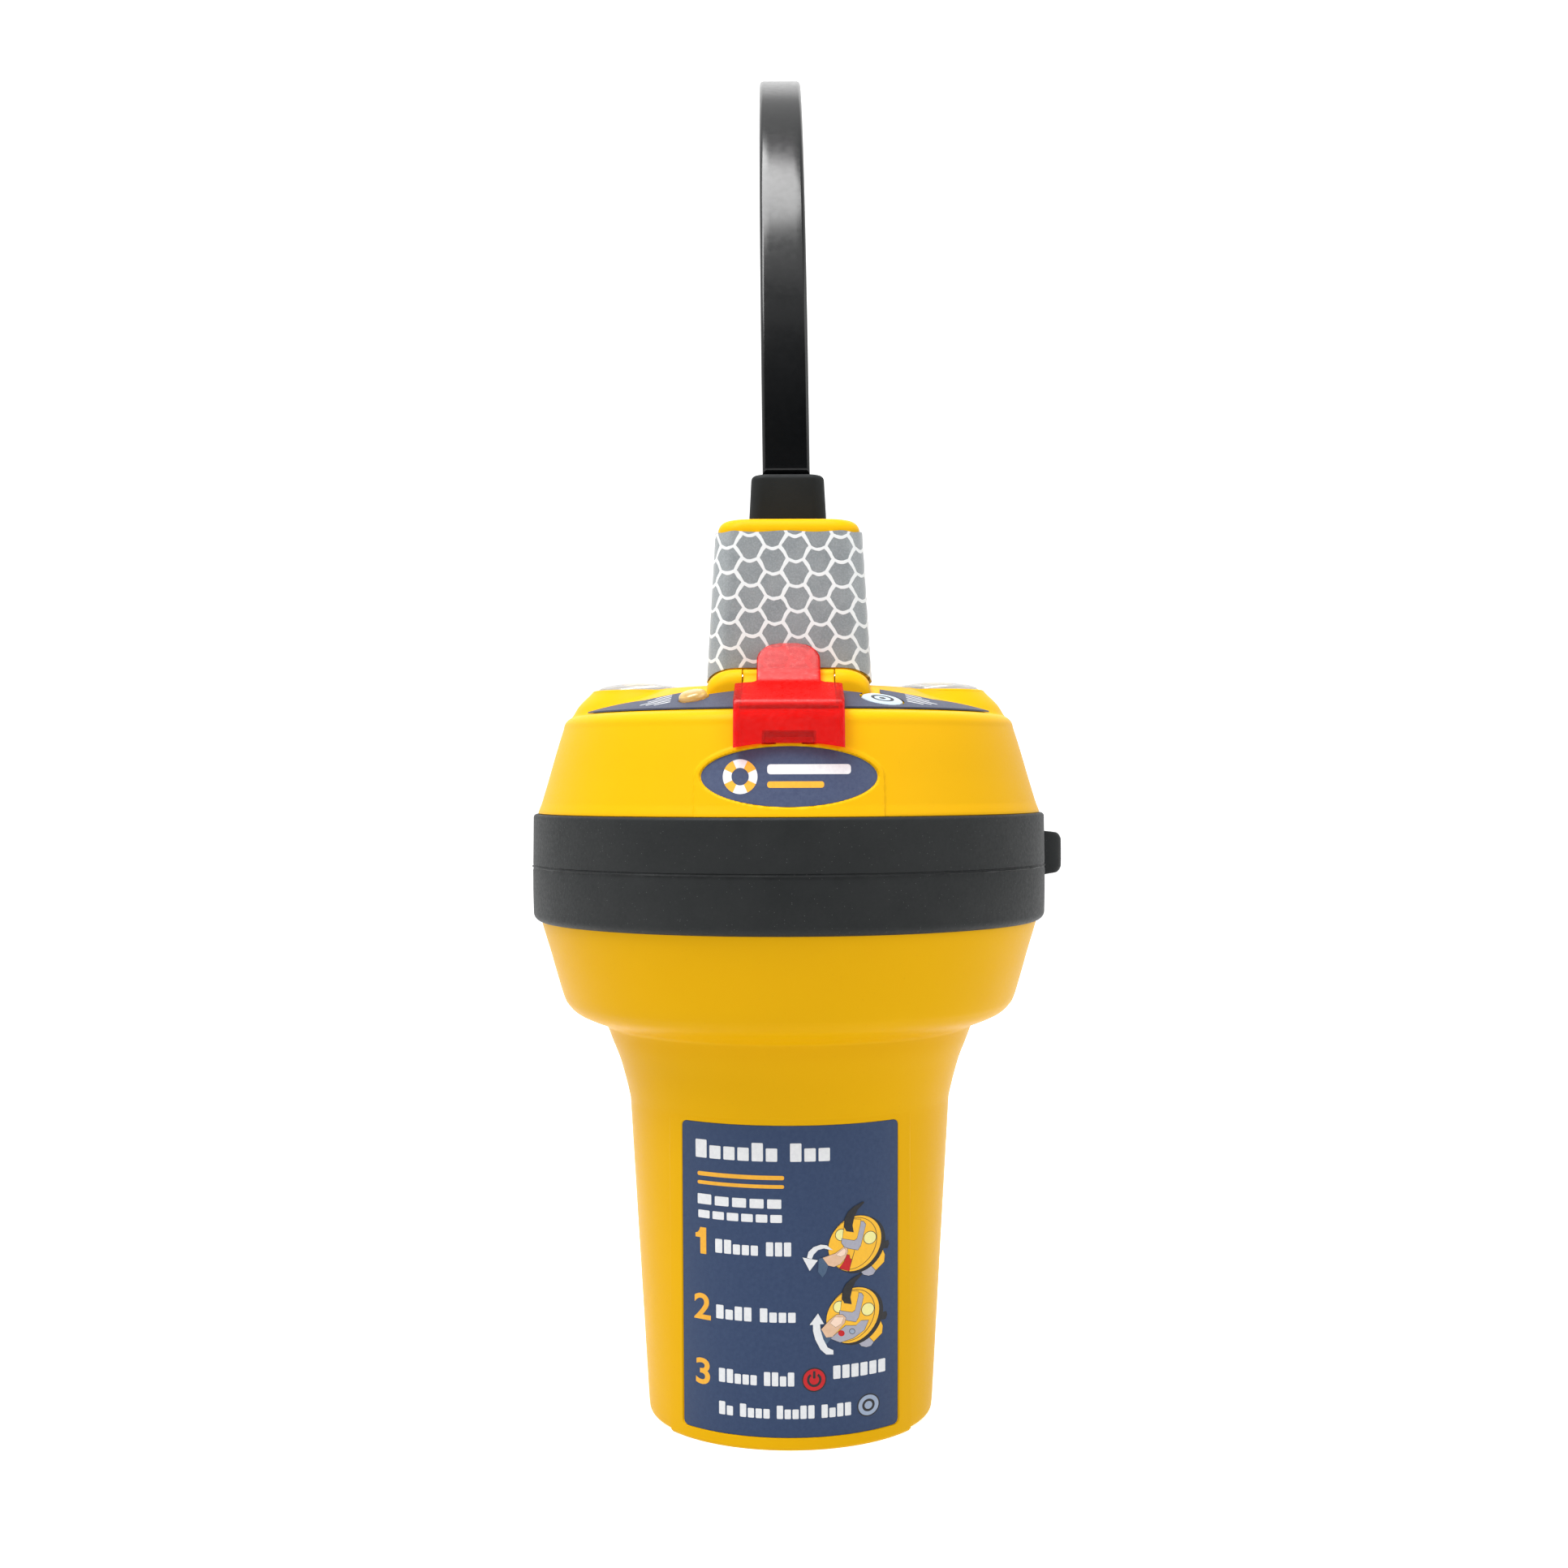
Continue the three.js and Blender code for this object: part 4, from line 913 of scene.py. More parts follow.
def boot():
    """The rubber boot, tapered a little, with a rounded top edge and a low seat for the blade's heel."""
    rows = []
    edge = 1.0
    heights = [BOOT_LOW - 1.2, BOOT_LOW, 156, 159, BOOT_HIGH - edge]
    heights += [BOOT_HIGH - edge + edge * math.sin(a) for a in np.linspace(0.2, math.pi / 2, 7)]
    for z in heights:
        share = max(0.0, z - BOOT_LOW) / (BOOT_HIGH - BOOT_LOW)
        above = max(0.0, z - (BOOT_HIGH - edge))
        inset = edge - math.sqrt(max(0.0, edge**2 - above**2))
        outline = rounded_outline(BOOT_WIDTH / 2 - 0.5 * share - inset, BOOT_DEPTH / 2 - inset, 2.2)
        rows.append(np.column_stack([outline, np.full(len(outline), z)]))
    slit = rounded_outline(BLADE_WIDTH / 2 + 0.3, BLADE_THICK / 2 + 0.3, 0.6) + (BLADE_X, 0)
    rows.append(np.column_stack([slit, np.full(len(slit), BOOT_HIGH)]))
    rows.append(np.column_stack([slit * (0.97, 0.85), np.full(len(slit), BOOT_HIGH + 0.2)]))
    rows.append(np.column_stack([slit * 0.1, np.full(len(slit), BOOT_HIGH + 0.21)]))
    mesh_piece(
        "rubber_boot", np.vstack(rows), grid_faces(len(rows), len(slit), wrap=True), BOOT_BLACK,
        "case", ["antenna_boot"], sharp=40,
    )


def blade():
    """The flat antenna, swept along its bend, with rounded long edges and a rounded tip."""
    section = rounded_outline(BLADE_WIDTH / 2, BLADE_THICK / 2, 0.75, 6, 6)
    rows = []
    stations = [(-1.19, 0.1), (-1.1, 0.4), (-0.8, 0.745), (-0.4, 0.943), (0, 1.0)]
    length = math.radians(BLADE_TURN) * BLADE_BEND
    stations += [(s, 1.0) for s in np.linspace(1, length - 0.8, 90)]
    stations += [
        (length - 0.5, 0.97), (length - 0.2, 0.9), (length - 0.02, 0.72), (length, 0.45), (length, 0.02)
    ]
    for s, fill in stations:
        a = s / BLADE_BEND if s > 0 else 0.0
        y = BLADE_BEND * (1 - math.cos(a))
        z = BLADE_FOOT + BLADE_BEND * math.sin(a) + min(s, 0)
        shrink = (1 - fill) * BLADE_THICK / 2 * (s > 0)
        outline = section * ((BLADE_WIDTH / 2 - shrink) / (BLADE_WIDTH / 2), fill)
        lean = BLADE_X - BLADE_LEAN * (z - BLADE_FOOT)
        rows.append([(u + lean, y + v * math.cos(a), z - v * math.sin(a)) for u, v in outline])
    mesh_piece(
        "antenna_strip", np.vstack(rows), grid_faces(len(rows), len(section), wrap=True), BLADE_BLACK,
        "antenna", ["antenna_blade"], sharp=60,
    )


# ---------------------------------------------------------------- tape, film, label and badge
def tape():
    """The tape round the mast, with a butt joint at the rear. Its lower edge arches over the hinge lobes."""
    count = len(rounded_outline(MAST_HALF_X, MAST_HALF_Y, MAST_CORNER))
    order = np.roll(np.arange(count), count // 2)
    order = np.append(order, order[0])
    lower = mast_rows(TAPE_PROUD, [TAPE_LOW])[0][order]
    beside = np.clip((np.abs(lower[:, 0] - MAST_X) - 8.4) / 5.3, 0, 1)
    arch = (lower[:, 1] < MAST_Y - 6) * np.sqrt(1 - beside**2)
    low = TAPE_LOW + (TAPE_OVER_LOBES - TAPE_LOW) * arch
    high = TAPE_HIGH + 0.12 * np.sin(np.arange(count + 1) * 0.9) * (np.arange(count + 1) % count > 0)
    rows, uv = [], []
    shares = [0, *np.linspace(0.012, 0.988, 26), 1]
    for inset, some in ((TAPE_PROUD - 0.06, [0]), (0.0, shares), (TAPE_PROUD - 0.06, [1])):
        for share in some:
            z = low + (high - low) * share
            row = np.vstack([mast_rows(TAPE_PROUD - inset, [h])[0][i] for i, h in zip(order, z)])
            along = np.concatenate([[0], np.cumsum(np.hypot(*np.diff(row[:, :2], axis=0).T))])
            row[[0, -1], 0] += np.sign(row[1, 0] - row[0, 0]) * np.array([0.12, -0.12])
            rows.append(row)
            uv.append(np.column_stack([along - along[count // 2], z - TAPE_LOW]))
    mesh_piece(
        "tape_sleeve", np.vstack(rows), grid_faces(len(rows), len(order)), TAPE, "case",
        ["reflective_tape"], sharp=40, uv=np.vstack(uv),
    )


def keypad():
    """The printed film on the deck. Its inner edge follows the mast, the mounds and the flap."""
    reach, rear = 35.5, 9.5
    limit = math.pi / 2 - math.asin(rear / reach)
    window = HINGE_HALF + 0.6
    side = [(15.0, -LOBE_FRONT + 0.4), (15.0, 20.6), (23.8, 18.9), (reach * math.sin(limit), rear)]
    corners = [math.asin(window / reach), math.atan2(window, -LOBE_FRONT + 0.4)]
    corners += [math.atan2(x, y) for x, y in side[:-1]]
    phi = merged(np.linspace(-limit, limit, 560), [s * c for c in corners for s in (-1, 1)], least=0.0004)

    def inner(a):
        across, ahead = abs(math.sin(a)), math.cos(a)
        back = (-LOBE_FRONT + 0.4) / ahead
        for (x0, y0), (x1, y1) in zip(side, side[1:]):  # beside the hinge lobe, then along the mound
            if math.atan2(x0, y0) < abs(a) <= math.atan2(x1, y1) + 1e-6:
                back = (x0 * y1 - x1 * y0) / (across * (y1 - y0) - ahead * (x1 - x0))
        if abs(a) < corners[1]:
            back = min((-FLAP_FRONT + 0.6) / ahead, max(back, window / max(across, 1e-6)))
        return min(back, reach - 0.02)

    rows = []
    steps = [0, 0.004, *np.linspace(0.03, 0.97, 40), 0.996, 1]
    starts = np.array([inner(a) for a in phi])
    for i, share in enumerate(steps):
        r = starts + (reach - starts) * share
        lift = 0.16 if i in (0, len(steps) - 1) else 0.42
        rows.append(np.column_stack([r * np.sin(phi), -r * np.cos(phi), deck_z(r) + lift]))
    verts = np.vstack(rows)
    holes = [(TEST_AT, KEY_R + 0.22), (INDICATOR_AT, INDICATOR_R + 0.15)]
    for at, size in holes:
        away = verts[:, :2] - at
        d = np.maximum(np.hypot(*away.T), 1e-6)
        near = np.abs(d - size) < 0.16
        verts[near, :2] = np.array(at) + away[near] * (size / d[near])[:, None]
    faces = [
        f
        for f in grid_faces(len(rows), len(phi))
        if all(math.dist(verts[list(f)].mean(0)[:2], at) > size for at, size in holes)
    ]
    mesh_piece(
        "keypad_film", verts, faces, NAVY_KEYPAD, "case", ["keypad_overlay"], sharp=50
    )


def label_surface(x, z, lift=0.0):
    """A point on the instruction label. The label lies a little below the case's front."""
    r = neck_r(z) + PAD_PROUD * (1 - z / NECK_TOP_Z) + 0.04 - 0.14 + lift
    return np.column_stack([x, -np.sqrt(r * r - x * x), z])


def label():
    half, low, high = LABEL_HALF - 0.06, LABEL_LOW + 0.1, LABEL_HIGH - 0.06
    x = merged(
        np.linspace(-half, half, 60), *[[s * (half - c) for c in np.arange(0, 0.85, 0.08)] for s in (-1, 1)]
    )
    tuck = np.maximum(0, np.abs(x) - (half - LABEL_CORNER))
    trim = LABEL_CORNER - np.sqrt(LABEL_CORNER**2 - np.minimum(tuck, LABEL_CORNER) ** 2)
    rows = []
    for share in np.linspace(0, 1, 46):
        z = (low + trim) + ((high - trim) - (low + trim)) * share
        rows.append(label_surface(x, z))
    verts = np.vstack(rows)
    mesh_piece(
        "label_plate", verts, grid_faces(len(rows), len(x)), NAVY_LABEL, "case",
        ["instruction_label"],
    )


def badge_surface(x, z, lift=0.0):
    r = cone_r(z) - 0.1 + lift
    return np.column_stack([x, -np.sqrt(r * r - x * x), z])


def badge():
    half_x, half_z = BADGE_HALF - 0.16, BADGE_TALL - 0.16
    rows = []
    for share in [*np.linspace(0.02, 1, 14)]:
        a = np.arange(120) * 2 * math.pi / 120
        rows.append(badge_surface(half_x * share * np.cos(a), BADGE_Z + half_z * share * np.sin(a)))
    faces = grid_faces(len(rows), 120, wrap=True) + [tuple(range(120))]
    mesh_piece("badge_face", np.vstack(rows), faces, NAVY_BADGE, "case", ["badge_plate"])


# ---------------------------------------------------------------- printing
class Print:
    """Flat shapes of ink, gathered by colour and then wrapped on a curved surface."""

    def __init__(self, name, surface, slot):
        self.name, self.surface, self.slot = name, surface, slot
        self.inks, self.bm, self.layers = [], bmesh.new(), {}

    def polygon(self, points, ink, level=0, hole=None):
        if ink not in self.inks:
            self.inks.append(ink)
        loops = [[self.bm.verts.new((x, z, 0)) for x, z in points]]
        if hole:
            loops.append([self.bm.verts.new((x, z, 0)) for x, z in hole])
            n = len(points)
            made = [
                self.bm.faces.new((loops[0][i], loops[0][(i + 1) % n], loops[1][(i + 1) % n], loops[1][i]))
                for i in range(n)
            ]
        else:
            made = [self.bm.faces.new(loops[0])]
        for face in made:
            face.material_index = self.inks.index(ink)
        for loop in loops:
            for v in loop:
                self.layers[v] = level
                v.co.z = 0.006 * level

    def block(self, x0, x1, z0, z1, ink, level=0, corner=0.35):
        corner = min(corner, (x1 - x0) / 2.01, (z1 - z0) / 2.01)
        out = rounded_outline((x1 - x0) / 2, (z1 - z0) / 2, corner, 4, 1)
        self.polygon([(x + (x0 + x1) / 2, z + (z0 + z1) / 2) for x, z in out], ink, level)

    def oval(self, x, z, half_x, half_z, ink, level=0, tilt=0.0, inner=None, count=40):
        c, s = math.cos(tilt), math.sin(tilt)
        ring = lambda k: [
            (x + k * (half_x * math.cos(a) * c - half_z * math.sin(a) * s),
             z + k * (half_x * math.cos(a) * s + half_z * math.sin(a) * c))
            for a in np.arange(count) * 2 * math.pi / count
        ]
        self.polygon(ring(1), ink, level, hole=ring(inner) if inner else None)

    def arc(self, x, z, r, width, start, end, ink, level=0, count=18):
        a = np.radians(np.linspace(start, end, count))
        outer = [(x + (r + width / 2) * math.cos(t), z + (r + width / 2) * math.sin(t)) for t in a]
        inside = [(x + (r - width / 2) * math.cos(t), z + (r - width / 2) * math.sin(t)) for t in a[::-1]]
        for i in range(count - 1):
            self.polygon([outer[i], outer[i + 1], inside[count - 2 - i], inside[count - 1 - i]], ink, level)

    def numeral(self, text, x, z, height, ink):
        """A digit, from Blender's own font, centred on (x, z)."""
        curve = bpy.data.curves.new(f"digit_{text}", "FONT")
        curve.body, curve.align_x, curve.align_y = text, "CENTER", "CENTER"
        curve.size, curve.offset = height * 1.38, 0.028 * height
        holder = bpy.data.objects.new(f"digit_{text}", curve)
        bpy.context.scene.collection.objects.link(holder)
        bpy.context.view_layer.update()
        mesh = bpy.data.meshes.new_from_object(holder.evaluated_get(bpy.context.evaluated_depsgraph_get()))
        if ink not in self.inks:
            self.inks.append(ink)
        start = [self.bm.verts.new((v.co.x + x, v.co.y + z, 0)) for v in mesh.vertices]
        for p in mesh.polygons:
            self.bm.faces.new([start[i] for i in p.vertices]).material_index = self.inks.index(ink)
        bpy.data.objects.remove(holder)
        bpy.data.meshes.remove(mesh)

    def wrap(self, body="case", lift=0.025):
        bm = self.bm
        bmesh.ops.triangulate(bm, faces=bm.faces)
        for _ in range(5):
            long = [e for e in bm.edges if abs(e.verts[0].co.x - e.verts[1].co.x) > 0.9]
            if not long:
                break
            bmesh.ops.subdivide_edges(bm, edges=long, cuts=1)
            bmesh.ops.triangulate(bm, faces=bm.faces)
        bm.verts.index_update()
        flat = np.array([v.co for v in bm.verts])
        verts = self.surface(flat[:, 0], flat[:, 1], lift + flat[:, 2])
        faces = [tuple(v.index for v in f.verts) for f in bm.faces]
        mesh = bpy.data.meshes.new(self.name)
        mesh.from_pydata((verts * MM).tolist(), [], faces)
        mesh.polygons.foreach_set("material_index", [f.material_index for f in bm.faces])
        for ink in self.inks:
            mesh.materials.append(ink)
        bm.free()
        normals = np.zeros(len(mesh.polygons) * 3)
        mesh.polygons.foreach_get("normal", normals)
        outward = np.array([p.center[:] for p in mesh.polygons])
        outward[:, 2] = 0
        flips = (normals.reshape(-1, 3) * outward).sum(1) < 0
        for p, flip in zip(mesh.polygons, flips):
            if flip:
                p.flip()
        mesh.shade_smooth()
        piece = bpy.data.objects.new(self.name, mesh)
        bpy.context.scene.collection.objects.link(piece)
        return finish_piece(piece, body)


def words(page, x0, x1, z0, z1, counts, ink=WHITE_INK, small=0.72):
    """A line of print stood for by one small block for each letter. No letter is drawn."""
    spaces = 0.7 * (len(counts) - 1)
    pitch = (x1 - x0) / (sum(counts) + spaces)
    x = x0
    for count in counts:
        for i in range(count):
            tall = 1.0 if i == 0 or rng.random() < 0.2 else small
            page.block(x, x + pitch * 0.8, z0, z0 + (z1 - z0) * tall, ink, corner=0.16)
            x += pitch
        x += pitch * 0.7


def power_mark(page, x, z, r):
    page.oval(x, z, r, r, BLACK_INK, 0)
    page.oval(x, z, r * 0.9, r * 0.9, RED_INK, 1)
    page.arc(x, z, r * 0.5, r * 0.2, 125, 415, BLACK_INK, 2)
    page.block(x - r * 0.1, x + r * 0.1, z + r * 0.1, z + r * 0.72, BLACK_INK, 2, 0.05)


def beacon_picture(page, x, z, opened):
    """The beacon's top seen from above and tilted, a finger at work on it, and an arrow."""
    at = lambda u, v: (x + u, z + v)  # millimetres from the top left corner, to the right and up
    tilt = math.radians(-35)

    def shape(ink, level, *points, rim=0.0):
        flat = [at(u, v) for u, v in points]
        if rim:
            middle = np.mean(flat, axis=0)
            reach = [max(math.dist(q, middle), 0.1) for q in flat]
            page.polygon(
                [tuple(middle + (np.array(q) - middle) * (1 + rim / r)) for q, r in zip(flat, reach)],
                BLACK_INK, level
            )
        page.polygon(flat, ink, level + 1)

    def disc(ink, level, u, v, across, tall, lean=tilt):
        page.oval(*at(u, v), across, tall, ink, level, lean)

    shape(BLACK_INK, 0, (11.19, -10.12), (12.42, -10.04), (12.57, -10.71), (12.26, -11.38), (11.14, -11.31))
    shape(
        YELLOW_INK, 0, (11.38, -11.35), (11.78, -12.38), (11.66, -13.57), (10.23, -14.76), (9.47, -13.8),
        (10.47, -12.85), rim=0.08
    )
    shape(
        GREY_INK, 2, (7.74, -14.57), (9.45, -13.88), (10.23, -14.8), (9.81, -15.35), (9.04, -15.47),
        (8.21, -15.16), rim=0.08
    )
    disc(BLACK_INK, 4, 7.43, -10.12, 4.24, 4.83)
    disc(BLACK_INK, 5, 6.83, -9.83, 4.26, 4.81)
    disc(YELLOW_INK, 6, 6.83, -9.83, 4.17, 4.71)
    disc(BLACK_INK, 7, 6.43, -9.81, 3.86, 4.45)
    disc(YELLOW_INK, 8, 6.4, -9.81, 3.78, 4.38)
    for u, v, r in ((4.52, -8.21, 0.9), (9.28, -9.16, 1.0)):
        disc(BLACK_INK, 9, u, v, r + 0.1, r + 0.1)
        disc(PALE_INK, 10, u, v, r, r)
    grey = [
        (7.74, -6.24), (8.21, -6.33), (8.57, -6.9), (7.74, -10.23), (7.26, -10.95), (5.12, -10.35),
        (4.57, -9.52), (4.64, -8.76), (7.07, -9.04)
    ]
    shape(GREY_INK, 11, *grey, rim=0.07)
    mast = [
        (6.55, -5.78), (7.74, -5.95), (7.66, -6.78), (7.12, -9.0), (6.66, -9.28), (4.76, -8.81),
        (4.95, -7.14), (6.24, -5.83)
    ]
    shape(YELLOW_INK, 13, *mast, rim=0.07)
    whip = [
        (4.93, -6.9), (5.07, -5.59), (5.64, -4.52), (6.55, -3.76), (8.21, -2.98), (8.33, -3.26),
        (7.26, -4.28), (6.71, -5.36), (6.38, -6.78)
    ]
    shape(BLACK_INK, 15, *whip, (6.59, -7.97), (5.36, -7.66))
    if opened:
        film = [
            (3.09, -13.33), (5.62, -11.4), (7.28, -11.61), (8.12, -10.9), (9.38, -11.0), (8.69, -12.52),
            (6.88, -13.61), (4.66, -14.09)
        ]
        shape(GREY_INK, 11, *film, rim=0.08)
        disc(RED_INK, 13, 4.88, -12.61, 0.55, 0.48)
        disc(BLACK_INK, 13, 6.66, -12.47, 0.52, 0.45)
        disc(BLUE_INK, 14, 6.66, -12.47, 0.43, 0.36)
        finger = [
            (1.59, -11.69), (2.86, -10.35), (4.09, -9.47), (5.05, -9.52), (5.62, -10.12), (5.43, -10.9),
            (3.4, -13.07), (2.38, -13.09)
        ]
        nail = [(3.05, -10.76), (3.81, -9.81), (5.28, -10.0), (4.88, -11.0), (3.93, -11.52)]
        sleeve = [(0.48, -12.38), (1.59, -11.69), (3.4, -13.07), (2.38, -14.28), (1.43, -14.04)]
        body = [
            (3.55, -15.99), (2.38, -15.9), (1.43, -14.99), (0.6, -13.33), (0.24, -11.9), (0.24, -10.83),
            (1.38, -10.83), (1.48, -11.9), (1.9, -13.33), (2.62, -14.76), (3.55, -15.28)
        ]
        head = [(-0.33, -10.88), (2.02, -10.83), (1.05, -9.04)]
    else:
        shape(BLACK_INK, 9, (6.69, -10.9), (6.78, -10.9), (5.85, -14.18), (5.74, -14.16))
        shape(
            RED_INK, 11, (5.43, -11.54), (5.88, -11.66), (5.95, -12.26), (6.24, -12.38), (5.83, -14.28),
            (4.17, -13.69), (5.0, -12.61), rim=0.06
        )
        finger = [
            (1.48, -11.78), (2.86, -11.38), (3.57, -11.19), (4.88, -10.28), (5.52, -10.47), (5.59, -11.07),
            (5.12, -12.14), (4.4, -12.97), (3.33, -13.38), (2.38, -13.09)
        ]
        nail = [(3.69, -11.47), (4.28, -10.95), (5.0, -10.47), (5.28, -10.76), (5.12, -11.5), (4.4, -11.78)]
        sleeve = [
            (0.83, -11.9), (1.48, -11.78), (2.38, -13.09), (2.02, -14.28), (1.43, -14.99), (0.71, -14.04)
        ]
        body = [
            (3.14, -10.59), (2.14, -9.76), (1.19, -9.59), (0.0, -9.95), (-0.83, -10.71), (-1.07, -11.66),
            (-0.29, -11.9), (0.0, -11.19), (0.71, -10.47), (1.67, -10.23), (2.62, -10.52)
        ]
        head = [(-1.81, -11.59), (0.69, -12.14), (-0.64, -13.85)]
    shape(SLEEVE_INK, 15, *sleeve)
    shape(SKIN_INK, 16, *finger, rim=0.05)
    shape(NAIL_INK, 18, *nail, rim=0.04)
    half = len(body) // 2
    for i in range(half):
        page.polygon([at(*body[i]), at(*body[i + 1]), at(*body[-i - 2]), at(*body[-i - 1])], WHITE_INK, 20)
    shape(WHITE_INK, 20, *head)


def label_print():
    page = Print("label_print", label_surface, "instruction_label")
    words(page, -15.5, 6.9, 47.6, 50.6, [6, 3])
    page.block(-15.2, -1.0, 44.6, 45.3, AMBER_INK, corner=0.3)
    page.block(-15.2, -1.0, 43.2, 43.8, AMBER_INK, corner=0.3)
    words(page, -15.2, -0.9, 39.9, 41.6, [5], small=0.9)
    words(page, -15.1, -0.9, 37.6, 38.9, [6], small=1.0)
    page.block(-14.8, -13.8, 31.6, 36.0, AMBER_INK, corner=0.08)
    page.polygon(
        [(-15.6, 34.3), (-14.8, 34.3), (-14.8, 36.0), (-14.95, 35.5), (-15.25, 35.1), (-15.6, 35.0)],
        AMBER_INK
    )
    for digit, x, z in (("2", -14.5, 22.55), ("3", -14.45, 11.7)):
        page.numeral(digit, x, z, 4.3, AMBER_INK)
    words(page, -12.3, 0.4, 32.1, 34.4, [5, 3])
    words(page, -12.2, 1.1, 21.2, 23.5, [4, 4])
    words(page, -11.8, 0.8, 10.7, 13.0, [5, 4])
    words(page, 6.9, 15.9, 11.6, 13.8, [6], small=1.0)
    words(page, -11.8, 10.1, 5.3, 7.5, [2, 4, 5, 4])
    power_mark(page, 3.8, 11.7, 2.0)
    page.oval(12.75, 6.5, 1.9, 1.9, BLACK_INK, 0)
    page.oval(12.75, 6.5, 1.7, 1.7, BLUE_INK, 1)
    page.oval(12.75, 6.5, 1.05, 1.05, BLACK_INK, 2, inner=0.62)
    beacon_picture(page, 3.74, 43.55, opened=False)
    beacon_picture(page, 3.38, 31.7, opened=True)
    page.wrap()


def badge_print():
    """A lifebuoy and two plain bars stand where a name would be."""
    page = Print("badge_print", badge_surface, "badge_plate")
    page.oval(-7.6, BADGE_Z, 2.7, 2.7, WHITE_INK, 0, inner=0.5, count=48)
    for k in range(4):
        page.arc(-7.6, BADGE_Z, 2.02, 1.36, 25 + 90 * k, 65 + 90 * k, AMBER_INK, 1, 6)
    page.block(-3.4, 9.6, BADGE_Z + 0.35, BADGE_Z + 1.9, WHITE_INK, corner=0.5)
    page.block(-3.4, 5.4, BADGE_Z - 1.75, BADGE_Z - 0.75, AMBER_INK, corner=0.4)
    page.wrap()


def keypad_surface(x, y, lift=0.0):
    return np.column_stack([x, y, deck_z(np.hypot(x, y)) + 0.42 + lift])


def keypad_print():
    """Short lines of print at both ends of the film."""
    page = Print("keypad_print", keypad_surface, "keypad_overlay")
    for side in (-1, 1):
        for i in range(5):
            y = -20.6 - 1.3 * i
            outer = min(math.sqrt(34.2**2 - y * y) - 0.5, 22.0 + 1.2 * i)
            x0, x1 = sorted((side * 19.2, side * outer))
            page.block(x0, x1, y - 0.2, y + 0.2, WHITE_INK, corner=0.19)
    piece = page.wrap()
    for p in piece.data.polygons:
        if p.normal.z < 0:
            p.flip()


# ---------------------------------------------------------------- flap, tab, keys and lenses
def flap():
    at = lambda y, lift: (y, float(deck_z(-y)) + lift)
    top = [
        at(FLAP_FRONT, FLAP_UNDER + FLAP_THICK), at(-29, FLAP_UNDER + FLAP_THICK),
        at(-25.6, FLAP_UNDER + FLAP_THICK)
    ]
    knuckle = [
        (HINGE_Y + (HINGE_R - 0.01) * math.cos(a), HINGE_Z + (HINGE_R - 0.01) * math.sin(a))
        for a in np.linspace(math.radians(165), math.radians(-90), 26)
    ]
    bottom = [
        (-23.3, HINGE_Z - HINGE_R), at(-25.3, FLAP_UNDER), at(-29, FLAP_UNDER), at(FLAP_FRONT, FLAP_UNDER)
    ]
    outline = top + knuckle + bottom
    verts, faces = prism(outline, HINGE_HALF)
    piece = mesh_piece("flap_cover", verts, faces, YELLOW, "flap", ["key_flap"], sharp=30)
    bevelled(piece, 0.2, 3, 40)


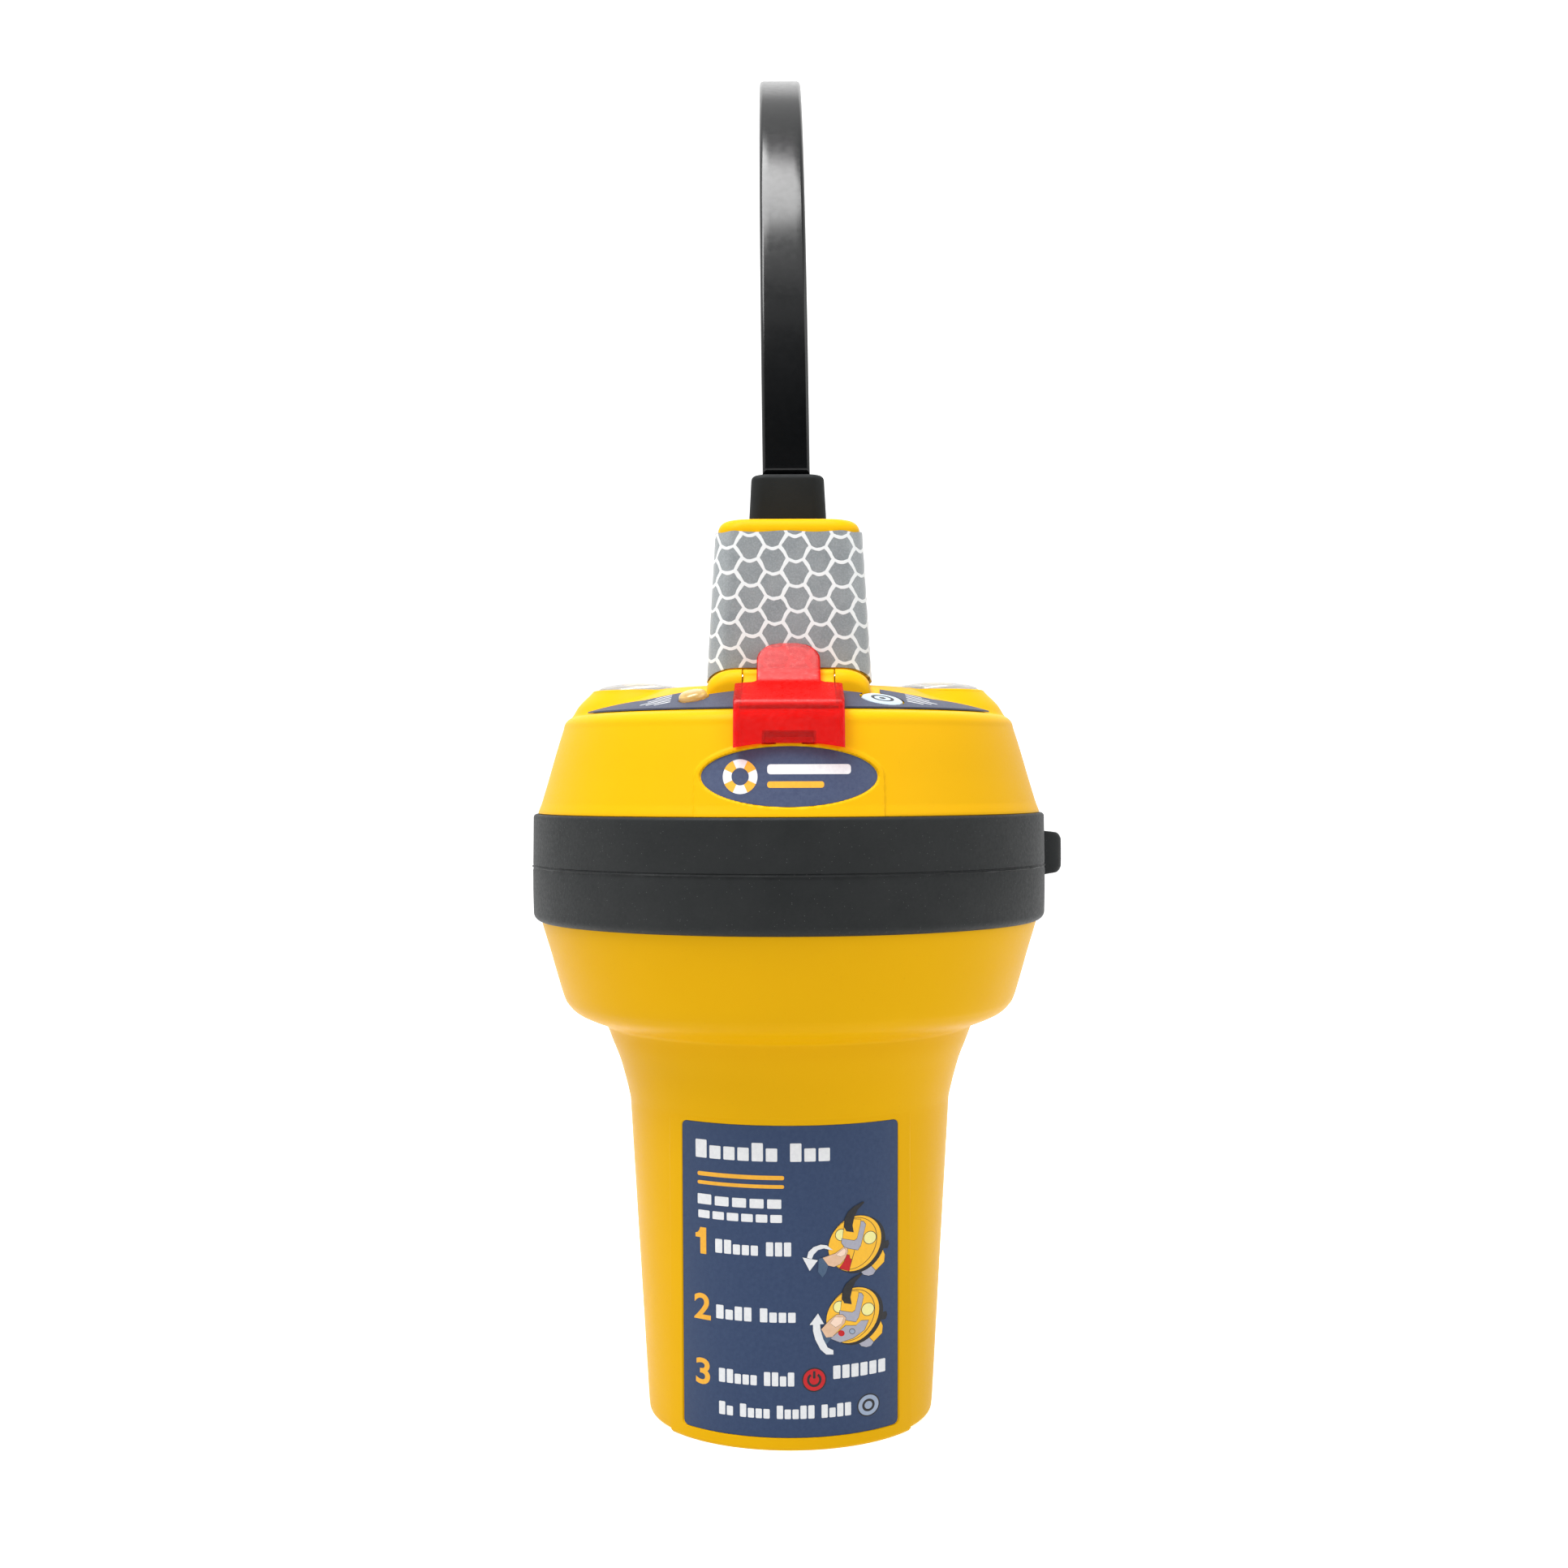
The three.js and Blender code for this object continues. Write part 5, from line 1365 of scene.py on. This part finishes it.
def tab():
    """The break tab: one bent sheet, narrower at the finger tongue, with side ribs and a latch."""
    slope = 0.252
    top = lambda y: 122.7 + slope * (y + 36.5)
    outer = curve_through(
        [(-41.55, 114.2), (-40.95, 116.4), (-40.35, 118.6), (-39.8, 120.6), (-39.5, 121.45), (-39.05, 121.93),
         (-38.4, top(-38.3) - 0.03), (-36.6, top(-36.6)), (-34, top(-34)), (-30, top(-30)), (-27.2,
             top(-27.2)), (-26.1, 125.45), (-25.2, 126.3), (-23, 129),
         (-20.5, 131.9)],
        0.35,
    )
    ahead = np.gradient(outer, axis=0)
    normal = np.column_stack([ahead[:, 1], -ahead[:, 0]]) / np.linalg.norm(ahead, axis=1)[:, None]
    travelled = np.concatenate([[0], np.cumsum(np.linalg.norm(np.diff(outer, axis=0), axis=1))])
    total, waist = travelled[-1], 9.0
    from_tip = total - travelled
    flare = np.clip((from_tip - waist + 0.9) / 1.3, 0, 1)
    half = TONGUE_HALF + (TAB_HALF - TONGUE_HALF) * (1 - np.sqrt(np.maximum(0, 1 - flare**2)))
    tip = 3.7
    round_off = np.maximum(0, tip - from_tip)
    half = half - (tip - np.sqrt(np.maximum(tip**2 - round_off**2, 0.0)))
    across = np.array([-1, -0.985, -0.94, *np.linspace(-0.85, 0.85, 19), 0.94, 0.985, 1])
    arch_z = BADGE_Z - 0.4 + (BADGE_TALL + 0.95) * np.sqrt(
        np.maximum(0, 1 - (across * TAB_HALF / (BADGE_PAD + 1.2)) ** 2)
    )
    rim = np.array([0.16, 0.04, 0, *np.zeros(19), 0, 0.04, 0.16])
    sheets = []
    for depth in (0.0, 1.0):
        rows = []
        for i, (y, z) in enumerate(outer):
            inset = rim if depth == 0 else TAB_THICK - rim
            yy = y + normal[i, 0] * inset
            zz = z + normal[i, 1] * inset
            lift = np.maximum(0, arch_z - zz) * (1 if travelled[i] < 4 else 0)
            share = lift * (1 - travelled[i] / 4) if travelled[i] < 4 else 0
            rows.append(np.column_stack([across * half[i], yy + share * 0.28, zz + share]))
        sheets.append(np.vstack(rows))
    columns, count = len(across), len(outer)
    faces = grid_faces(count, columns) + [
        tuple(i + count * columns for i in f) for f in grid_faces(count, columns)
    ]
    back = count * columns
    for i in range(count - 1):
        for j in (0, columns - 1):
            a, b = i * columns + j, (i + 1) * columns + j
            faces.append((a, b, b + back, a + back))
    for i in (0, count - 1):
        for j in range(columns - 1):
            a, b = i * columns + j, i * columns + j + 1
            faces.append((a, b, b + back, a + back))
    parts = [(np.vstack(sheets), faces)]
    for side in (-1, 1):
        rib = [
            (-40.7, 114.7), (-39.65, 118), (-38.6, 120.1), (-37, 121.6), (-35.2, 122.1), (-35.2, 121.2),
            (-37.2, 120.9), (-39.1, 118.4), (-39.95, 114.9)
        ]
        verts, rib_faces = prism(rib, 0.42)
        parts.append((verts + (side * (TAB_HALF - 0.5), 0, 0), rib_faces))
    verts, latch_faces = prism(
        [(-40.5, 115.1), (-38.85, 115.1), (-38.85, 116), (-40.5, 116)], SLOT_HALF - 0.4
    )
    parts.append((verts, latch_faces))
    verts, faces = joined(*parts)
    mesh_piece("tab_sheet", verts, faces, TAB_RED, "tab", ["break_tab"], sharp=50)


def key_cap(name, node, body, at, lift, colour, slot, ring):
    """A round key with a soft edge, and a printed mark on it."""
    profile = [
        (0, lift), (KEY_R - 0.7, lift), (KEY_R - 0.35, lift - 0.04), (KEY_R - 0.1, lift - 0.16),
        (KEY_R, lift - 0.4)
    ]
    profile += [(KEY_R, -0.9), (1.6, -0.9), (1.6, -2.9), (0, -2.9)]
    verts, faces = turned(profile, 64)
    mesh_piece(name, on_deck(verts, at), faces, colour, body, [node], sharp=40)
    ink = Print(f"{name}_mark", lambda x, y, h: on_deck(np.column_stack([x, y, h]), at, lift), slot)
    if ring:
        ink.oval(0, 0, 1.9, 1.9, BLACK_INK, 0, inner=0.72)
        ink.oval(0, 0, 0.55, 0.55, BLACK_INK, 0)
    else:
        ink.arc(0, 0, 1.5, 0.55, 125, 415, WHITE_INK)
        ink.block(-0.27, 0.27, 0.5, 2.2, WHITE_INK, corner=0.1)
    piece = ink.wrap(body)
    for p in piece.data.polygons:
        if p.normal.z < 0:
            p.flip()


def strobe_lens(name, side):
    dome = lambda r, base, apex: [
        (r * math.sin(a) ** 0.9 if a > 0 else 0.0,
            base + (apex - base) * math.cos(a)) for a in np.linspace(math.pi / 2, 0, 14)
    ]
    outside = [
        (LENS_R, LENS_RIM - 1.3), (LENS_R, LENS_RIM - 0.2), *dome(LENS_R - 0.05, LENS_RIM - 0.1, LENS_APEX)
    ]
    inside = [(LENS_R - 1.3, LENS_RIM - 1.3), *dome(LENS_R - 1.3, LENS_RIM - 0.5, LENS_APEX - 0.9)]
    verts, faces = turned([*outside, *inside[::-1], (LENS_R, LENS_RIM - 1.3)], 96, (side * LENS_X, 0))
    mesh_piece(
        f"strobe_dome_{name}", verts, faces, CLEAR, "case", [f"strobe_lens_{name}"], sharp=40
    )
    bowl = curve_through([(2.9, 117.5), (4.2, 118.3), (5.3, 119.9), (5.95, 122), (6.1, 122.9)], 0.3)
    back = [(r + 0.12, z - 0.05) for r, z in bowl[::-1]]
    verts, faces = turned([*bowl, *back], 72, (side * LENS_X, 0))
    mesh_piece(
        f"strobe_bowl_{name}", verts, faces, CHROME, "case",
        [f"strobe_reflector_{name}"]
    )


def indicator():
    """The raised clear amber lens beside the flap."""
    r = INDICATOR_R
    profile = [
        (0, 1.65), (r * 0.5, 1.6), (r * 0.82, 1.35), (r * 0.97, 0.9), (r, 0.4), (r, -0.2), (r - 0.9, -0.2),
        (r - 0.9, -3.4), (0, -3.4)
    ]
    verts, faces = turned(curve_through(profile, 0.3, corners=(4, 5, 6, 7)), 48)
    mesh_piece(
        "indicator_dome", on_deck(verts, INDICATOR_AT), faces, AMBER_CLEAR, "case",
        ["indicator_lens"]
    )


def repaint_frame():
    """CAD nodes that stay: each gets its material and softly rounded edges."""
    paints = {
        "case_seal": (RUBBER, 0.1),
        "feed_cable": (RUBBER, 0),
        "antenna_socket": (BRASS, 0.25),
        "antenna_tang": (STEEL, 0.15),
        "radio_shield": (STEEL, 0.3),
        "position_antenna": (CERAMIC, 0.3),
        "magnet_switch": (STEEL, 0.15),
        "flap_hinge_pin": (STEEL, 0.12),
        "on_switch": (STEEL, 0.15),
        "test_switch": (STEEL, 0.15),
        "main_board": (BOARD_GREEN, 0.1),
        "battery_foot": (BOARD_GREEN, 0.1),
        "battery_cap": (BOARD_GREEN, 0.1),
    }
    for name, node in nodes.items():
        if node.hide_render:
            continue
        material, width = paints.get(name, (None, 0.12))
        if name.startswith(("case_screw", "board_screw", "water_contact")):
            material = STEEL
        elif name.startswith("strobe_board"):
            material = BOARD_GREEN
        elif name.startswith("strobe_led"):
            material = LED_YELLOW
        elif name.startswith("battery_cell"):
            material, width = CELL, 0.5
        node.data.materials.clear()
        node.data.materials.append(material)
        if width:
            bevelled(node, width, 2, 40)


# ---------------------------------------------------------------- room, lights and camera
def area_light(name, place, target, size, power, colour=(1, 1, 1)):
    data = bpy.data.lights.new(name, "AREA")
    data.shape, data.size, data.size_y = "RECTANGLE", size[0], size[1]
    data.energy, data.color = power, colour
    lamp = bpy.data.objects.new(name, data)
    lamp.location = place
    lamp.rotation_euler = (Vector(target) - Vector(place)).to_track_quat("-Z", "Y").to_euler()
    bpy.context.scene.collection.objects.link(lamp)


def studio():
    """A round room of white paper, four soft lights, and a black card that only reflections show."""
    paper = Shader("studio_paper")
    paper.set(Base_Color=(0.80, 0.80, 0.80), Roughness=0.9, Specular_IOR_Level=0.0)
    paper.set(Emission_Color=(1, 1, 1), Emission_Strength=0.65)
    curve = [(2.0 + 0.8 * math.sin(a), 0.8 - 0.8 * math.cos(a)) for a in np.linspace(0.1, math.pi / 2, 14)]
    verts, faces = turned([(0, 0), (0.3, 0), (1, 0), (2.0, 0), *curve, (2.8, 3.2)], 64)
    mesh = bpy.data.meshes.new("studio_sweep")
    mesh.from_pydata(verts.tolist(), [], faces)
    mesh.shade_smooth()
    mesh.materials.append(paper.material)
    sweep = bpy.data.objects.new("studio_sweep", mesh)
    bpy.context.scene.collection.objects.link(sweep)
    sweep.visible_diffuse = False

    flag = Shader("black_flag")
    flag.set(Base_Color=(0, 0, 0), Roughness=1.0, Specular_IOR_Level=0.0, Emission_Color=(1, 1, 1))
    height = flag.add("ShaderNodeSeparateXYZ")
    flag.feed(height.inputs[0], flag.add("ShaderNodeTexCoord").outputs["Object"])
    flag.set(Emission_Strength=flag.span(height.outputs[2], 0.75, 1.5, 0.04, 0.4))
    card = bpy.data.meshes.new("black_flag")
    card.from_pydata(
        [(-1.1, -1.3, 0), (1.1, -1.3, 0), (1.1, -1.3, 1.5), (-1.1, -1.3, 1.5)], [], [(0, 1, 2, 3)]
    )
    card.materials.append(flag.material)
    board = bpy.data.objects.new("black_flag", card)
    bpy.context.scene.collection.objects.link(board)
    board.visible_camera = board.visible_diffuse = board.visible_shadow = board.visible_transmission = False

    world = bpy.data.worlds.new("studio")
    world.use_nodes = True
    tree = world.node_tree
    split = tree.nodes.new("ShaderNodeSeparateXYZ")
    tree.links.new(tree.nodes.new("ShaderNodeTexCoord").outputs["Generated"], split.inputs[0])
    fill = tree.nodes.new("ShaderNodeMapRange")
    tree.links.new(split.outputs[2], fill.inputs[0])
    for socket, value in zip(fill.inputs[1:5], (-0.6, 0.15, 1.45, 0.76)):
        socket.default_value = value
    background = tree.nodes["Background"]
    background.inputs["Color"].default_value = (1, 1, 1, 1)
    tree.links.new(fill.outputs[0], background.inputs["Strength"])
    bpy.context.scene.world = world
    area_light("overhead", (-0.14, -0.06, 0.95), (0, 0.02, 0.2), (0.4, 0.4), 6.5)
    area_light("front", (-0.1, -0.32, 1.0), (0, 0, 0.2), (0.8, 0.3), 0.8)
    area_light("left", (-0.46, -0.36, 0.95), (0, 0, 0.1), (0.4, 0.4), 6.6)
    area_light("right", (0.6, -0.3, 0.6), (0, 0, 0.1), (0.5, 0.5), 1.6)


def camera():
    data = bpy.data.cameras.new("camera")
    data.lens, data.sensor_width = 45.83, 36.0
    data.shift_y = -0.0052
    data.clip_start = 0.01
    view = bpy.data.objects.new("camera", data)
    view.location = (-0.0008, -0.350, 0.110)
    view.rotation_euler = (math.pi / 2, math.radians(0.19), 0)
    bpy.context.scene.collection.objects.link(view)
    bpy.context.scene.camera = view


camera()
studio()
lower_case()
upper_case()
slot_painted_shade()
belt()
boot()
blade()
tape()
keypad()
label()
badge()
label_print()
badge_print()
keypad_print()
flap()
tab()
key_cap("on_button_cap", "on_key", "on_button", ON_AT, -0.4, KEY_RED, "on_key_red", ring=False)
key_cap("test_button_cap", "test_key", "test_button", TEST_AT, 0.5, KEY_BLUE, "test_key_blue", ring=True)
strobe_lens("left", -1)
strobe_lens("right", 1)
indicator()
repaint_frame()
bpy.context.scene.view_settings.view_transform = "Standard"

bpy.context.view_layer.update()
